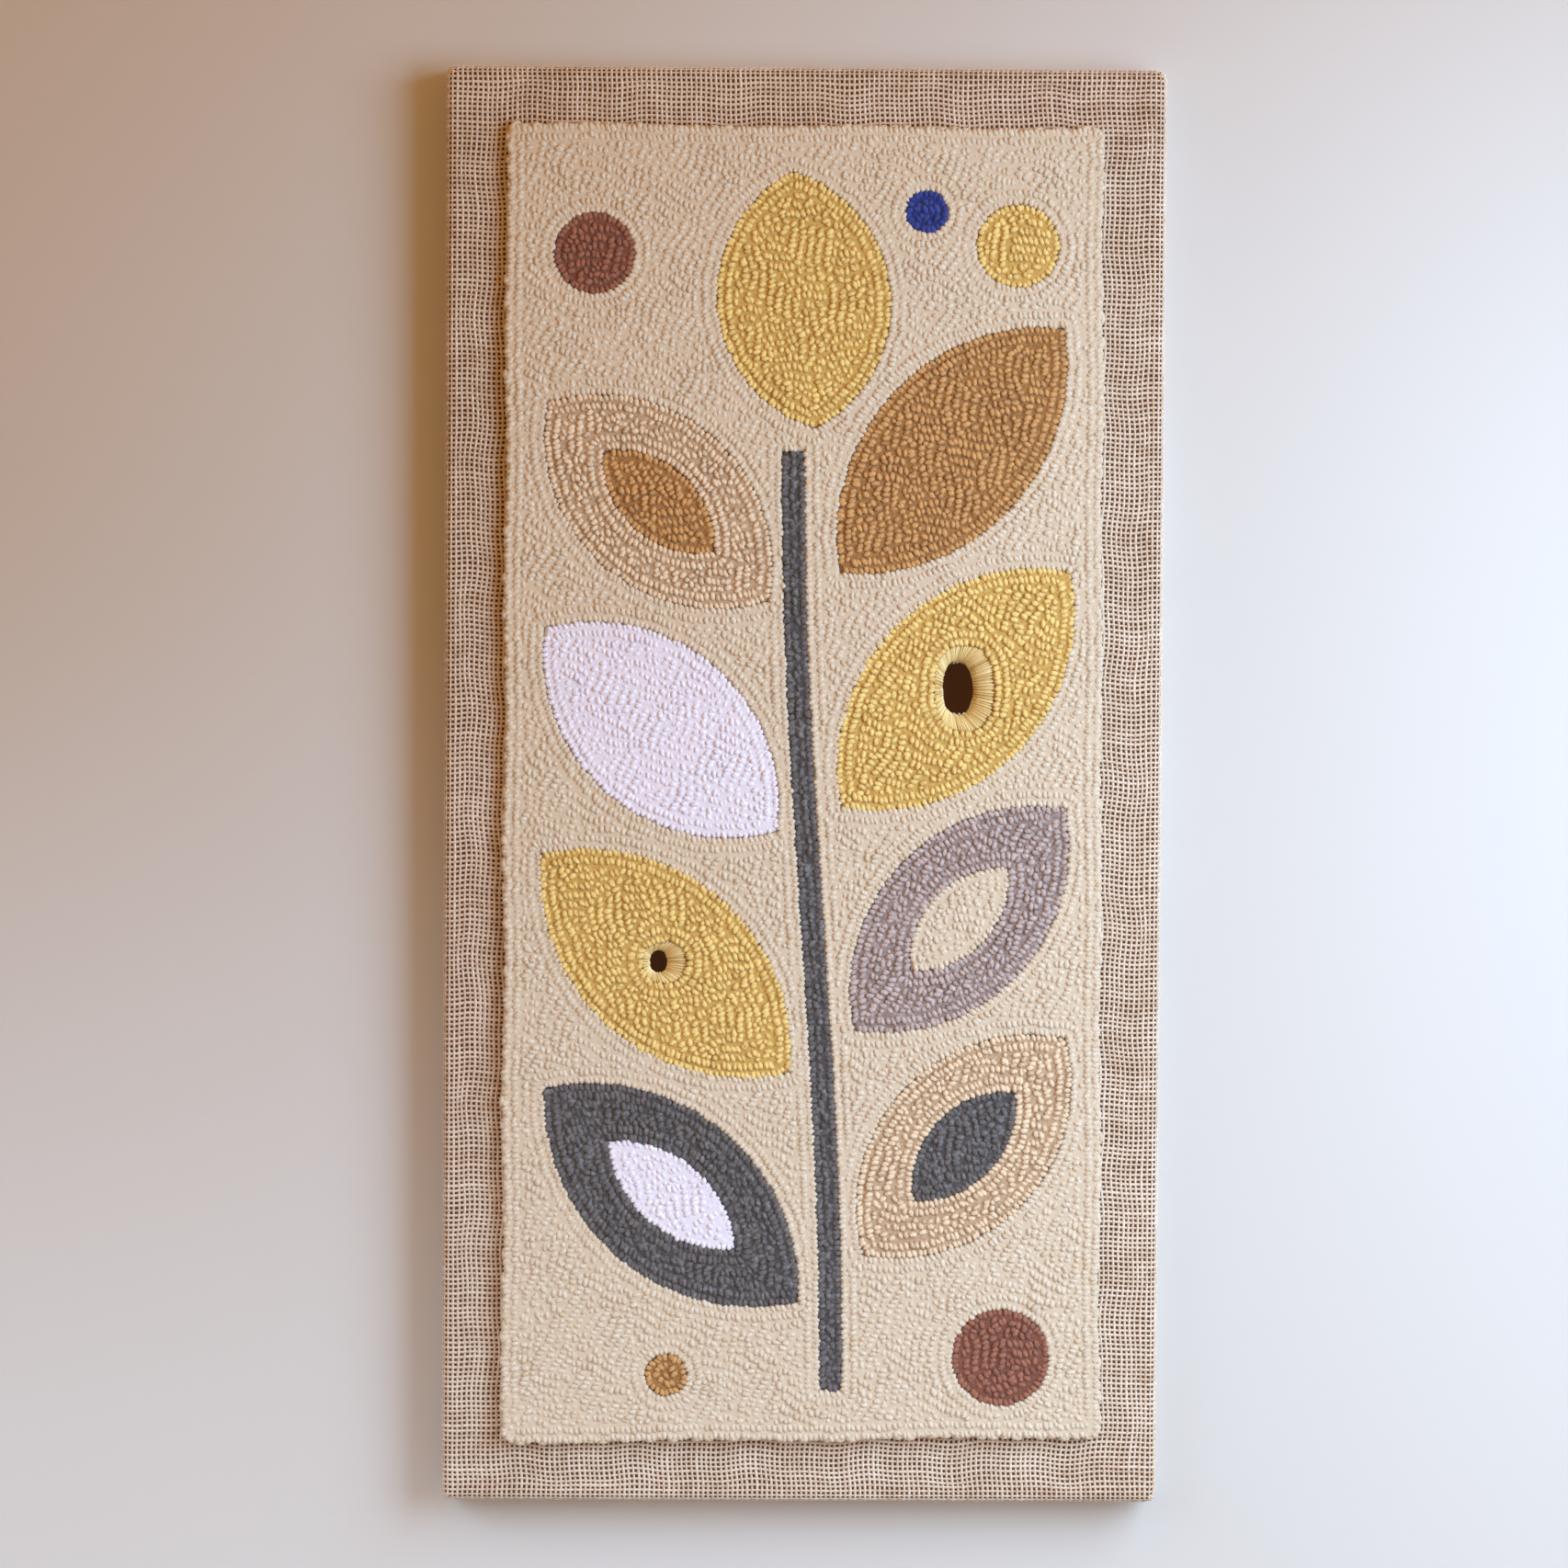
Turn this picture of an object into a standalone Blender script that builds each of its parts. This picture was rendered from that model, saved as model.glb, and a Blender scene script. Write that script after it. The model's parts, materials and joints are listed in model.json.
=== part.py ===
"""Punch needle wall piece: loop-pile yarn work on linen, stretched on a wooden frame.

Units are metres and +Z is up. The yarn work faces -Y, and +X is to its right.
The origin is the place where a hook bears, in the middle of the underside of the
top stretcher bar. Outlines on the front are given from the middle of the front,
across and up. Each patch of one yarn is a raised slab of its own, and the two
worked eyelets go right through the cloth.
"""

import math
from collections import namedtuple

import bmesh
import bpy
from mathutils import Matrix, Vector

# Stretched front, and the gap between pieces that touch
FRONT_WIDTH = 0.300
FRONT_HEIGHT = 0.600
GAP = 0.0003

# Stretcher bars: a raised bead along the outside, then a face that falls away inwards
BAR_WIDTH = 0.038
BAR_DEPTH = 0.018
BAR_ROUND = 0.002
BEAD_WIDTH = 0.008
BEAD_STEP = 0.0015
FACE_FALL = 0.003
CORNER_EASE = 0.0024

# Ground cloth: drawn over the edges and turned onto the back
CLOTH = 0.0012
EDGE_RADIUS = 0.0035
BACK_MARGIN = 0.024

# Yarn pile: height, eased rims, and the lumps of the loops along the outer rim
PILE_HEIGHT = 0.006
PILE_EASE = 0.0012
LUMP_PITCH = 0.0108
LUMP_HEIGHT = 0.0008
RIM_SWAY = 0.0005
RIM_SWAY_LENGTH = 0.017

# The worked field, a little out of true as on the cloth: its corners, going round
FIELD_CORNERS = ((-0.1243, -0.2746), (0.1252, -0.2713), (0.1229, 0.2745), (-0.1243, 0.2751))

# Number of chords in a leaf's side, a disc, a stem's side, an eyelet and the cloth's rounded edge
LEAF_STEPS = 10
DISC_STEPS = 18
STEM_STEPS = 16
EYELET_STEPS = 24
EDGE_STEPS = 3

# Points closer than this are one, and faces that meet at a sharper angle are shaded apart
WELD = 0.00001
SHARP_ANGLE = math.radians(40)

Yarn = namedtuple("Yarn", "colour roughness")
YARNS = {
    "cream": Yarn((0.78, 0.66, 0.46), 0.95),
    "yellow": Yarn((0.73, 0.54, 0.15), 0.95),
    "ochre": Yarn((0.46, 0.25, 0.075), 0.95),
    "tan": Yarn((0.54, 0.38, 0.22), 0.95),
    "lilac": Yarn((0.70, 0.63, 0.67), 0.95),
    "mauve": Yarn((0.48, 0.38, 0.37), 0.95),
    "charcoal": Yarn((0.10, 0.095, 0.10), 0.95),
    "brown": Yarn((0.24, 0.09, 0.055), 0.95),
    "blue": Yarn((0.015, 0.02, 0.14), 0.95),
}
PALE_THREAD = ((0.80, 0.66, 0.36), 0.85)
LINEN = ((0.66, 0.49, 0.35), 0.95)
PINE = ((0.67, 0.46, 0.26), 0.6)

# A leafy sprig. A leaf's base, tip and width; a heart's shares of its leaf
Leaf = namedtuple("Leaf", "name yarn base tip width")
LEAVES = (
    Leaf("leaf_top", "yellow", (0.004, 0.150), (-0.006, 0.256), 0.072),
    Leaf("leaf_right_4", "ochre", (0.015, 0.090), (0.107, 0.192), 0.068),
    Leaf("leaf_left_4", "tan", (-0.015, 0.078), (-0.107, 0.160), 0.070),
    Leaf("leaf_right_3", "yellow", (0.016, -0.008), (0.111, 0.091), 0.073),
    Leaf("leaf_left_3", "lilac", (-0.011, -0.018), (-0.108, 0.066), 0.069),
    Leaf("leaf_right_2", "mauve", (0.022, -0.101), (0.109, -0.008), 0.067),
    Leaf("leaf_left_2", "yellow", (-0.005, -0.119), (-0.109, -0.028), 0.071),
    Leaf("leaf_right_1", "tan", (0.026, -0.195), (0.110, -0.104), 0.069),
    Leaf("leaf_left_1", "charcoal", (-0.001, -0.215), (-0.107, -0.126), 0.068),
)
Heart = namedtuple("Heart", "name yarn leaf length width")
HEARTS = (
    Heart("heart_left_4", "ochre", "leaf_left_4", 0.50, 0.42),
    Heart("heart_right_2", "cream", "leaf_right_2", 0.46, 0.40),
    Heart("heart_right_1", "charcoal", "leaf_right_1", 0.50, 0.42),
    Heart("heart_left_1", "lilac", "leaf_left_1", 0.50, 0.42),
)
Disc = namedtuple("Disc", "name yarn centre diameter")
DISCS = (
    Disc("berry_top_left", "brown", (-0.088, 0.222), 0.033),
    Disc("berry_top_right", "yellow", (0.088, 0.226), 0.034),
    Disc("bud_top", "blue", (0.050, 0.240), 0.017),
    Disc("berry_foot", "brown", (0.084, -0.238), 0.040),
    Disc("bud_foot", "ochre", (-0.056, -0.246), 0.017),
)
STEM_FOOT = (0.004, -0.252)
STEM_TOP = (0.004, 0.140)
STEM_WIDTH = 0.0085
STEM_BEND = 0.009

# Worked eyelets: half sizes of the hole and of the stitched collar, and the collar's
# offset from the hole. Both outlines are ovals squared by the same power.
Eyelet = namedtuple("Eyelet", "name leaf centre hole collar collar_shift")
EYELETS = (
    Eyelet("eyelet_large", "leaf_right_3", (0.0645, 0.042), (0.0069, 0.0122), (0.0129, 0.0182), (0.0026, 0)),
    Eyelet("eyelet_small", "leaf_left_2", (-0.060, -0.073), (0.0042, 0.0053), (0.0094, 0.0088), (0.0026, 0)),
)
OVAL_POWER = 2.4
SLEEVE_SHARE = 0.25
FLANGE_SHARE = 0.50
FLANGE = 0.0010

# The collar's slope towards the hole: share of the way out, height over the cloth
CollarRow = namedtuple("CollarRow", "share height")
COLLAR_ROWS = (
    CollarRow(0.00, 0.0008),
    CollarRow(0.22, 0.0028),
    CollarRow(0.55, 0.0040),
    CollarRow(0.88, 0.0044),
    CollarRow(1.00, 0.0034),
)

# Places along Y, and the middle of the front
CLOTH_FRONT = -BAR_DEPTH / 2 - GAP - CLOTH
CLOTH_BACK = -CLOTH_FRONT
PILE_BACK = CLOTH_FRONT - GAP
PILE_MIDDLE = PILE_BACK - PILE_HEIGHT / 2
FRAME_WIDTH = FRONT_WIDTH - 2 * (CLOTH + GAP)
FRAME_HEIGHT = FRONT_HEIGHT - 2 * (CLOTH + GAP)
CENTRE_Z = BAR_WIDTH - FRAME_HEIGHT / 2


def clear_scene():
    for item in list(bpy.data.objects):
        bpy.data.objects.remove(item, do_unlink=True)


def new_collection(name):
    collection = bpy.data.collections.new(name)
    bpy.context.scene.collection.children.link(collection)
    return collection


def new_material(name, colour, roughness):
    material = bpy.data.materials.new(name)
    material.use_nodes = True
    shader = material.node_tree.nodes["Principled BSDF"]
    shader.inputs["Base Color"].default_value = (*colour, 1.0)
    shader.inputs["Roughness"].default_value = roughness
    shader.inputs["Metallic"].default_value = 0.0
    return material


def add_object(name, data, collection, material=None):
    item = bpy.data.objects.new(name, data)
    if material:
        data.materials.append(material)
    collection.objects.link(item)
    return item


def face_the_front(item, depth):
    """Stand an item drawn across X and Y up, with its +Z to the front, at this depth."""
    item.rotation_euler = (math.radians(90), 0, 0)
    item.location = (0, depth, CENTRE_Z)
    return item


def outline_curve(name, outline, holes=()):
    """A filled flat curve. Holes run the other way round, so that offsets shrink them too."""
    curve = bpy.data.curves.new(name, "CURVE")
    curve.dimensions = "2D"
    curve.fill_mode = "BOTH"
    for ring in (outline, *(hole[::-1] for hole in holes)):
        spline = curve.splines.new("POLY")
        spline.points.add(len(ring) - 1)
        for point, (x, y) in zip(spline.points, ring):
            point.co = (x, y, 0, 1)
        spline.use_cyclic_u = True
    return curve


def mesh_from_curve(curve):
    """The curve's evaluated solid as a mesh, with its caps welded on."""
    guide = bpy.data.objects.new("guide", curve)
    bpy.context.scene.collection.objects.link(guide)
    graph = bpy.context.evaluated_depsgraph_get()
    mesh = bpy.data.meshes.new_from_object(guide.evaluated_get(graph))
    bpy.data.objects.remove(guide)
    bm = bmesh.new()
    bm.from_mesh(mesh)
    bmesh.ops.remove_doubles(bm, verts=bm.verts, dist=WELD)
    return mesh, bm


def leaf_outline(base, tip, width, grow=0.0):
    """Two equal arcs from base to tip; grow moves both arcs out from their centres."""
    start, end = Vector(base), Vector(tip)
    middle = (start + end) / 2
    along = (end - start).normalized()
    across = Vector((-along.y, along.x))
    half_length = (end - start).length / 2
    half_width = width / 2
    radius = (half_length**2 + half_width**2) / (2 * half_width)
    inset = radius - half_width
    radius += grow
    sweep = math.acos(inset / radius)
    points = []
    for side in (-1, 1):
        for step in range(LEAF_STEPS):
            angle = sweep * (2 * step / LEAF_STEPS - 1)
            run = -side * radius * math.sin(angle)
            rise = side * (radius * math.cos(angle) - inset)
            points.append(middle + along * run + across * rise)
    return points


def heart_outline(heart, grow=0.0):
    leaf = next(leaf for leaf in LEAVES if leaf.name == heart.leaf)
    base, tip = Vector(leaf.base), Vector(leaf.tip)
    middle, half = (base + tip) / 2, (tip - base) / 2 * heart.length
    return leaf_outline(middle - half, middle + half, leaf.width * heart.width, grow)


def disc_outline(disc, grow=0.0):
    radius = disc.diameter / 2 + grow
    turns = [math.tau * step / DISC_STEPS for step in range(DISC_STEPS)]
    return [Vector(disc.centre) + radius * Vector((math.cos(a), math.sin(a))) for a in turns]


def stem_outline(grow=0.0):
    """A band of even width whose middle sways once from foot to top."""
    foot, top = Vector(STEM_FOOT), Vector(STEM_TOP)
    half = STEM_WIDTH / 2 + grow
    right, left = [], []
    for step in range(STEM_STEPS + 1):
        share = step / STEM_STEPS
        middle = foot.lerp(top, share) + Vector((STEM_BEND * math.cos(math.pi * share), 0))
        end = (grow if step == STEM_STEPS else 0) - (grow if step == 0 else 0)
        right.append(middle + Vector((half, end)))
        left.append(middle + Vector((-half, end)))
    return right + left[::-1]


def squared(part):
    """A circle's coordinate, pushed out so that an oval's sides are flatter."""
    return math.copysign(abs(part) ** (2 / OVAL_POWER), part)


def eyelet_outline(eyelet, share, grow=0.0):
    """An oval between the hole's, at share 0, and the collar's, at share 1."""
    half = Vector(eyelet.hole).lerp(Vector(eyelet.collar), share)
    centre = Vector(eyelet.centre) + Vector(eyelet.collar_shift) * share
    points = []
    for step in range(EYELET_STEPS):
        turn = math.tau * step / EYELET_STEPS
        x, y = squared(math.cos(turn)), squared(math.sin(turn))
        points.append(centre + Vector(((half.x + grow) * x, (half.y + grow) * y)))
    return points


def field_outline():
    """Four nearly straight sides with the lumps of the outer loops, cut across at the corners."""
    points = []
    for side, corner in enumerate(FIELD_CORNERS):
        start, end = Vector(corner), Vector(FIELD_CORNERS[(side + 1) % 4])
        along = (end - start).normalized()
        outward = Vector((along.y, -along.x))
        length = (end - start).length
        count = 2 * round(length / LUMP_PITCH)
        for step in range(count):
            run = length * (step + 0.5) / count
            lump = LUMP_HEIGHT * (step % 2 - 0.5)
            sway = RIM_SWAY * math.sin(run / RIM_SWAY_LENGTH + side)
            points.append(start + along * run + outward * (lump + sway))
    return points


def yarn_slab(name, yarn, outline, holes, collection):
    """One patch of loop pile, with the outline at its full size half way up."""
    curve = outline_curve(name, outline, holes)
    curve.bevel_depth = PILE_EASE
    curve.bevel_resolution = 0
    curve.offset = -PILE_EASE
    curve.extrude = PILE_HEIGHT / 2 - PILE_EASE
    slab = add_object(name, curve, collection, bpy.data.materials["yarn_" + yarn])
    return face_the_front(slab, PILE_MIDDLE)


def yarn_work(collection):
    yarn_slab("stem", "charcoal", stem_outline(), (), collection)
    ground_holes = [stem_outline(GAP)]
    for leaf in LEAVES:
        holes = [heart_outline(heart, GAP) for heart in HEARTS if heart.leaf == leaf.name]
        holes += [eyelet_outline(eyelet, 1.0, GAP) for eyelet in EYELETS if eyelet.leaf == leaf.name]
        yarn_slab(leaf.name, leaf.yarn, leaf_outline(*leaf[2:]), holes, collection)
        ground_holes.append(leaf_outline(*leaf[2:], GAP))
    for heart in HEARTS:
        yarn_slab(heart.name, heart.yarn, heart_outline(heart), (), collection)
    for disc in DISCS:
        yarn_slab(disc.name, disc.yarn, disc_outline(disc), (), collection)
        ground_holes.append(disc_outline(disc, GAP))
    yarn_slab("pile_ground", "cream", field_outline(), ground_holes, collection)


def eyelet_ring(eyelet, collection):
    """The overcast edge: a collar in front, a sleeve through the cloth and a flange behind."""
    back = -CLOTH - GAP
    section = [(row.share, row.height) for row in COLLAR_ROWS]
    section += [(1.0, GAP), (SLEEVE_SHARE, GAP), (SLEEVE_SHARE, back), (FLANGE_SHARE, back)]
    section += [(FLANGE_SHARE, back - FLANGE), (0.0, back - FLANGE)]
    bm = bmesh.new()
    rings = []
    for share, height in section:
        outline = eyelet_outline(eyelet, share)
        rings.append([bm.verts.new((point.x, point.y, height)) for point in outline])
    for ring, following in zip(rings, rings[1:] + rings[:1]):
        for step in range(EYELET_STEPS):
            after = (step + 1) % EYELET_STEPS
            bm.faces.new((ring[step], ring[after], following[after], following[step]))
    bmesh.ops.recalc_face_normals(bm, faces=bm.faces)
    mesh = bpy.data.meshes.new(eyelet.name)
    bm.to_mesh(mesh)
    bm.free()
    mesh.shade_smooth()
    mesh.set_sharp_from_angle(angle=SHARP_ANGLE)
    ring = add_object(eyelet.name, mesh, collection, bpy.data.materials["thread_pale"])
    return face_the_front(ring, CLOTH_FRONT)


def bar_profile():
    """Section of a bar: outwards from its inner edge, and from front to back."""
    front, back = -BAR_DEPTH / 2, BAR_DEPTH / 2
    arc = [math.radians(angle) for angle in (0, 30, 60, 90)]
    points = [(0, back)]
    points += [(0, front + FACE_FALL), (BAR_WIDTH - BEAD_WIDTH, front + BEAD_STEP)]
    points += [(BAR_WIDTH - BEAD_WIDTH + BEAD_STEP, front)]
    for angle in arc:
        outward = BAR_WIDTH - BAR_ROUND + BAR_ROUND * math.sin(angle)
        points.append((outward, front + BAR_ROUND - BAR_ROUND * math.cos(angle)))
    for angle in arc:
        outward = BAR_WIDTH - BAR_ROUND + BAR_ROUND * math.cos(angle)
        points.append((outward, back - BAR_ROUND + BAR_ROUND * math.sin(angle)))
    return points


def trim(bm, point, direction):
    """Cut away what lies past a plane and close the cut."""
    everything = bm.verts[:] + bm.edges[:] + bm.faces[:]
    cut = bmesh.ops.bisect_plane(bm, geom=everything, plane_co=point, plane_no=direction, clear_outer=True)
    edges = [item for item in cut["geom_cut"] if isinstance(item, bmesh.types.BMEdge)]
    bmesh.ops.contextual_create(bm, geom=edges)


def stretcher_bar(name, run, reach, turn, collection):
    """A bar drawn as the top one: run long, its outer edge at this reach, mitred at both ends."""
    curve = outline_curve(name, bar_profile())
    curve.extrude = run / 2
    mesh, bm = mesh_from_curve(curve)
    lie_down = Matrix.Rotation(math.radians(-90), 4, "Y")
    bmesh.ops.transform(bm, matrix=Matrix.Translation((0, 0, reach - BAR_WIDTH)) @ lie_down, verts=bm.verts)
    half_gap = GAP / 2 * math.sqrt(2)
    ease = CORNER_EASE * math.sqrt(2)
    for end in (-1, 1):
        trim(bm, (end * (run / 2 - half_gap), 0, reach), (end, 0, -1))
        trim(bm, (end * run / 2, 0, reach - ease), (end, 0, 1))
    bmesh.ops.recalc_face_normals(bm, faces=bm.faces)
    bm.to_mesh(mesh)
    bm.free()
    bar = add_object(name, mesh, collection, bpy.data.materials["pine"])
    bar.rotation_euler = (0, math.radians(turn), 0)
    bar.location = (0, 0, CENTRE_Z)
    return bar


def stretcher(collection):
    stretcher_bar("stretcher_top", FRAME_WIDTH, FRAME_HEIGHT / 2, 0, collection)
    stretcher_bar("stretcher_right", FRAME_HEIGHT, FRAME_WIDTH / 2, 90, collection)
    stretcher_bar("stretcher_bottom", FRAME_WIDTH, FRAME_HEIGHT / 2, 180, collection)
    stretcher_bar("stretcher_left", FRAME_HEIGHT, FRAME_WIDTH / 2, 270, collection)


def eyelet_cutter(eyelet, collection):
    """The hole in the cloth, which the eyelet's sleeve goes through."""
    curve = outline_curve(eyelet.name + "_hole", eyelet_outline(eyelet, SLEEVE_SHARE, GAP))
    curve.extrude = 4 * CLOTH
    mesh, bm = mesh_from_curve(curve)
    bm.to_mesh(mesh)
    bm.free()
    cutter = add_object(eyelet.name + "_hole", mesh, collection)
    cutter.hide_render = True
    cutter.display_type = "WIRE"
    return face_the_front(cutter, CLOTH_FRONT)


def ground_cloth(collection, cutters):
    """The skin of a rounded box, open at the back inside the turned margin, and thick inwards."""
    bm = bmesh.new()
    bmesh.ops.create_cube(bm, size=1.0)
    bmesh.ops.scale(bm, vec=(FRONT_WIDTH, 2 * CLOTH_BACK, FRONT_HEIGHT), verts=bm.verts)
    box_edges = bm.edges[:]
    back = next(face for face in bm.faces if face.normal.y > 0.9)
    bmesh.ops.inset_region(bm, faces=[back], thickness=BACK_MARGIN)
    bmesh.ops.delete(bm, geom=[back], context="FACES")
    bmesh.ops.bevel(bm, geom=box_edges, offset=EDGE_RADIUS, segments=EDGE_STEPS, profile=0.5, affect="EDGES")
    mesh = bpy.data.meshes.new("ground_cloth")
    bm.to_mesh(mesh)
    bm.free()
    mesh.shade_smooth()
    mesh.set_sharp_from_angle(angle=SHARP_ANGLE)
    cloth = add_object("ground_cloth", mesh, collection, bpy.data.materials["linen"])
    cloth.location = (0, 0, CENTRE_Z)
    skin = cloth.modifiers.new("cloth thickness", "SOLIDIFY")
    skin.thickness = CLOTH
    skin.offset = -1.0
    skin.use_even_offset = True
    for eyelet in EYELETS:
        hole = cloth.modifiers.new(eyelet.name, "BOOLEAN")
        hole.operation = "DIFFERENCE"
        hole.solver = "EXACT"
        hole.object = eyelet_cutter(eyelet, cutters)
    return cloth


def main():
    clear_scene()
    piece = new_collection("punch_needle_wall_piece")
    cutters = new_collection("cutters")
    for name, yarn in YARNS.items():
        new_material("yarn_" + name, yarn.colour, yarn.roughness)
    new_material("thread_pale", *PALE_THREAD)
    new_material("linen", *LINEN)
    new_material("pine", *PINE)
    stretcher(piece)
    ground_cloth(piece, cutters)
    yarn_work(piece)
    for eyelet in EYELETS:
        eyelet_ring(eyelet, piece)


main()
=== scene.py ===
# %% [markdown]
# # The looks of a punch needle wall piece
#
# A punch needle picture is yarn pushed through open-weave linen, so that each push leaves one
# low loop on the front. This one is stretched over a wooden frame. The frame, the cloth's skin
# and one plain raised slab for each patch of yarn are already built and measured. This notebook
# puts the real surface on them: about seventeen thousand loops, the woven threads of the bare
# border, two worked eyelets, and the back with its flat stitches and staples.

# %% Load the measured model
import json
import math

import bmesh
import bpy
import numpy as np
from mathutils import Matrix, Vector
from mathutils.kdtree import KDTree

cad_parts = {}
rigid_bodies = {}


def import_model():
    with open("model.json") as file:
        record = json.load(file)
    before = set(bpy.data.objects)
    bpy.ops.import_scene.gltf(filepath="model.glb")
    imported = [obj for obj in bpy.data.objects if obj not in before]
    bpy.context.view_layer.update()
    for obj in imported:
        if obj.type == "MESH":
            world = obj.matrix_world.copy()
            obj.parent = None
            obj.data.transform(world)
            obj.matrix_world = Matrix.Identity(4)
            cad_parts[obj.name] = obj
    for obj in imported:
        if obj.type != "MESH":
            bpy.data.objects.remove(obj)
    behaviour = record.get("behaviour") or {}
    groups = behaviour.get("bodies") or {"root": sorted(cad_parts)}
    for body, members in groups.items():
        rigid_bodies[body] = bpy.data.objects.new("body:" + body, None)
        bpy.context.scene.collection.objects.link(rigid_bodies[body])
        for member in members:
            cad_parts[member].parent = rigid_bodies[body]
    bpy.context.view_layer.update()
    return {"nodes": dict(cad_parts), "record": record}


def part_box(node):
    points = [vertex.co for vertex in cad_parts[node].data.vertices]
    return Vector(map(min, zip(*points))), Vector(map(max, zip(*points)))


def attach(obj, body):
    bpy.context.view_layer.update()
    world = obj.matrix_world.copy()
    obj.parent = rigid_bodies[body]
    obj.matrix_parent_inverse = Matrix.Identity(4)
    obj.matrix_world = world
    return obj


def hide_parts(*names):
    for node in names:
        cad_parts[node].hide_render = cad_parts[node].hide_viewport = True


for item in list(bpy.data.objects):
    bpy.data.objects.remove(item)

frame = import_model()
nodes = frame["nodes"]
scene = bpy.context.scene
slot_of = {row["node"]: row["material_slot"] for row in frame["record"]["subparts"]}
patches = [name for name, slot in slot_of.items() if slot.startswith("yarn_")]


def linked(name, data):
    item = bpy.data.objects.new(name, data)
    scene.collection.objects.link(item)
    return item


print(len(nodes), "measured pieces, of which", len(patches), "are patches of yarn")

# %% [markdown]
# ## Sizes
#
# Nothing is measured twice. The stretched cloth's box gives the width, height and depth, and one
# patch of pile gives how far the loops stand out. The front faces -Y, so a smaller y is nearer
# to the viewer.

# %% Read the sizes from the model
cloth_low, cloth_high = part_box("ground_cloth")
pile_low, pile_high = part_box("pile_ground")
HALF_WIDTH = (cloth_high.x - cloth_low.x) / 2
HALF_HEIGHT = (cloth_high.z - cloth_low.z) / 2
DEPTH = cloth_high.y - cloth_low.y
CENTRE_Z = (cloth_high.z + cloth_low.z) / 2
CLOTH_FRONT = cloth_low.y
PILE_FRONT = pile_low.y
PILE_BACK = pile_high.y
PILE_EASE = 0.0012
NEAR = 0.00002
print(f"cloth {2000 * HALF_WIDTH:.0f} x {2000 * HALF_HEIGHT:.0f} mm")
print(f"loops {1000 * (PILE_BACK - PILE_FRONT):.1f} mm high")

# %% [markdown]
# ## The camera
#
# The photograph was taken almost square on, from about 1.9 m, a little left of the middle. The
# lens and the small turns make the four corners of the stretched front land where they do in
# the picture.

# %% Set the camera
camera_data = bpy.data.cameras.new("camera")
camera_data.sensor_width = 36.0
camera_data.lens = 103.8
camera = linked("camera", camera_data)
look_along_y = Matrix.Rotation(math.radians(90), 4, "X")
roll = Matrix.Rotation(math.radians(-0.336), 4, "Y")
nod = Matrix.Rotation(math.radians(-1.714), 4, "X")
swing = Matrix.Rotation(math.radians(-0.582), 4, "Z")
camera.rotation_euler = (swing @ nod @ roll @ look_along_y).to_euler()
camera.location = (-0.0271, -1.9, -0.2024)
scene.camera = camera
print("camera at", tuple(round(part, 3) for part in camera.location))

# %% [markdown]
# ## Node trees in a few words
#
# Materials and Geometry Nodes are both made of nodes with sockets. One small helper adds a node,
# sets its options, and fills each socket with a value or with a link from another socket, so the
# cells below can say what a finish is made of and little else.

# %% A helper that adds a node
def add(tree, kind, sockets=(), **options):
    made = tree.nodes.new(kind)
    for option, value in options.items():
        setattr(made, option, value)
    for name, value in dict(sockets).items():
        if isinstance(value, bpy.types.NodeSocket):
            tree.links.new(value, made.inputs[name])
        else:
            made.inputs[name].default_value = value
    return made


def colour_of(red, green, blue):
    """A screen colour, 0 to 255 a channel, as the linear colour that a shader takes."""
    shares = [part / 255 for part in (red, green, blue)]
    linear = [
        part / 12.92 if part <= 0.04045 else ((part + 0.055) / 1.055) ** 2.4 for part in shares
    ]
    return (*linear, 1.0)


def maths(tree, operation, first, second=0.0):
    return add(tree, "ShaderNodeMath", {0: first, 1: second}, operation=operation).outputs[0]


print("mid grey is", round(colour_of(128, 128, 128)[0], 3), "in linear light")

# %% [markdown]
# ## A tree that sets pieces on points
#
# The loops, and the flat stitches behind them, are one small shape repeated at places that are
# worked out first. Instance on Points is made for this. Each point carries its own turn, size
# and tint, the tree adds a little random size from a fixed seed, and Realize Instances turns the
# copies into one plain mesh.

# %% Build the tree for pieces on points
def open_tree(name, inputs):
    tree = bpy.data.node_groups.new(name, "GeometryNodeTree")
    tree.interface.new_socket("Geometry", in_out="INPUT", socket_type="NodeSocketGeometry")
    for label, kind in inputs:
        tree.interface.new_socket(label, in_out="INPUT", socket_type=kind)
    tree.interface.new_socket("Geometry", in_out="OUTPUT", socket_type="NodeSocketGeometry")
    return tree, add(tree, "NodeGroupInput").outputs


def close_tree(tree, geometry, material):
    plain = add(tree, "GeometryNodeRealizeInstances", {"Geometry": geometry})
    smooth = add(tree, "GeometryNodeSetShadeSmooth", {"Geometry": plain.outputs[0]})
    dressed = add(
        tree, "GeometryNodeSetMaterial", {"Geometry": smooth.outputs[0], "Material": material}
    )
    add(tree, "NodeGroupOutput", {"Geometry": dressed.outputs[0]})


def named(tree, name, kind):
    return add(tree, "GeometryNodeInputNamedAttribute", {"Name": name}, data_type=kind).outputs[0]


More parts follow.
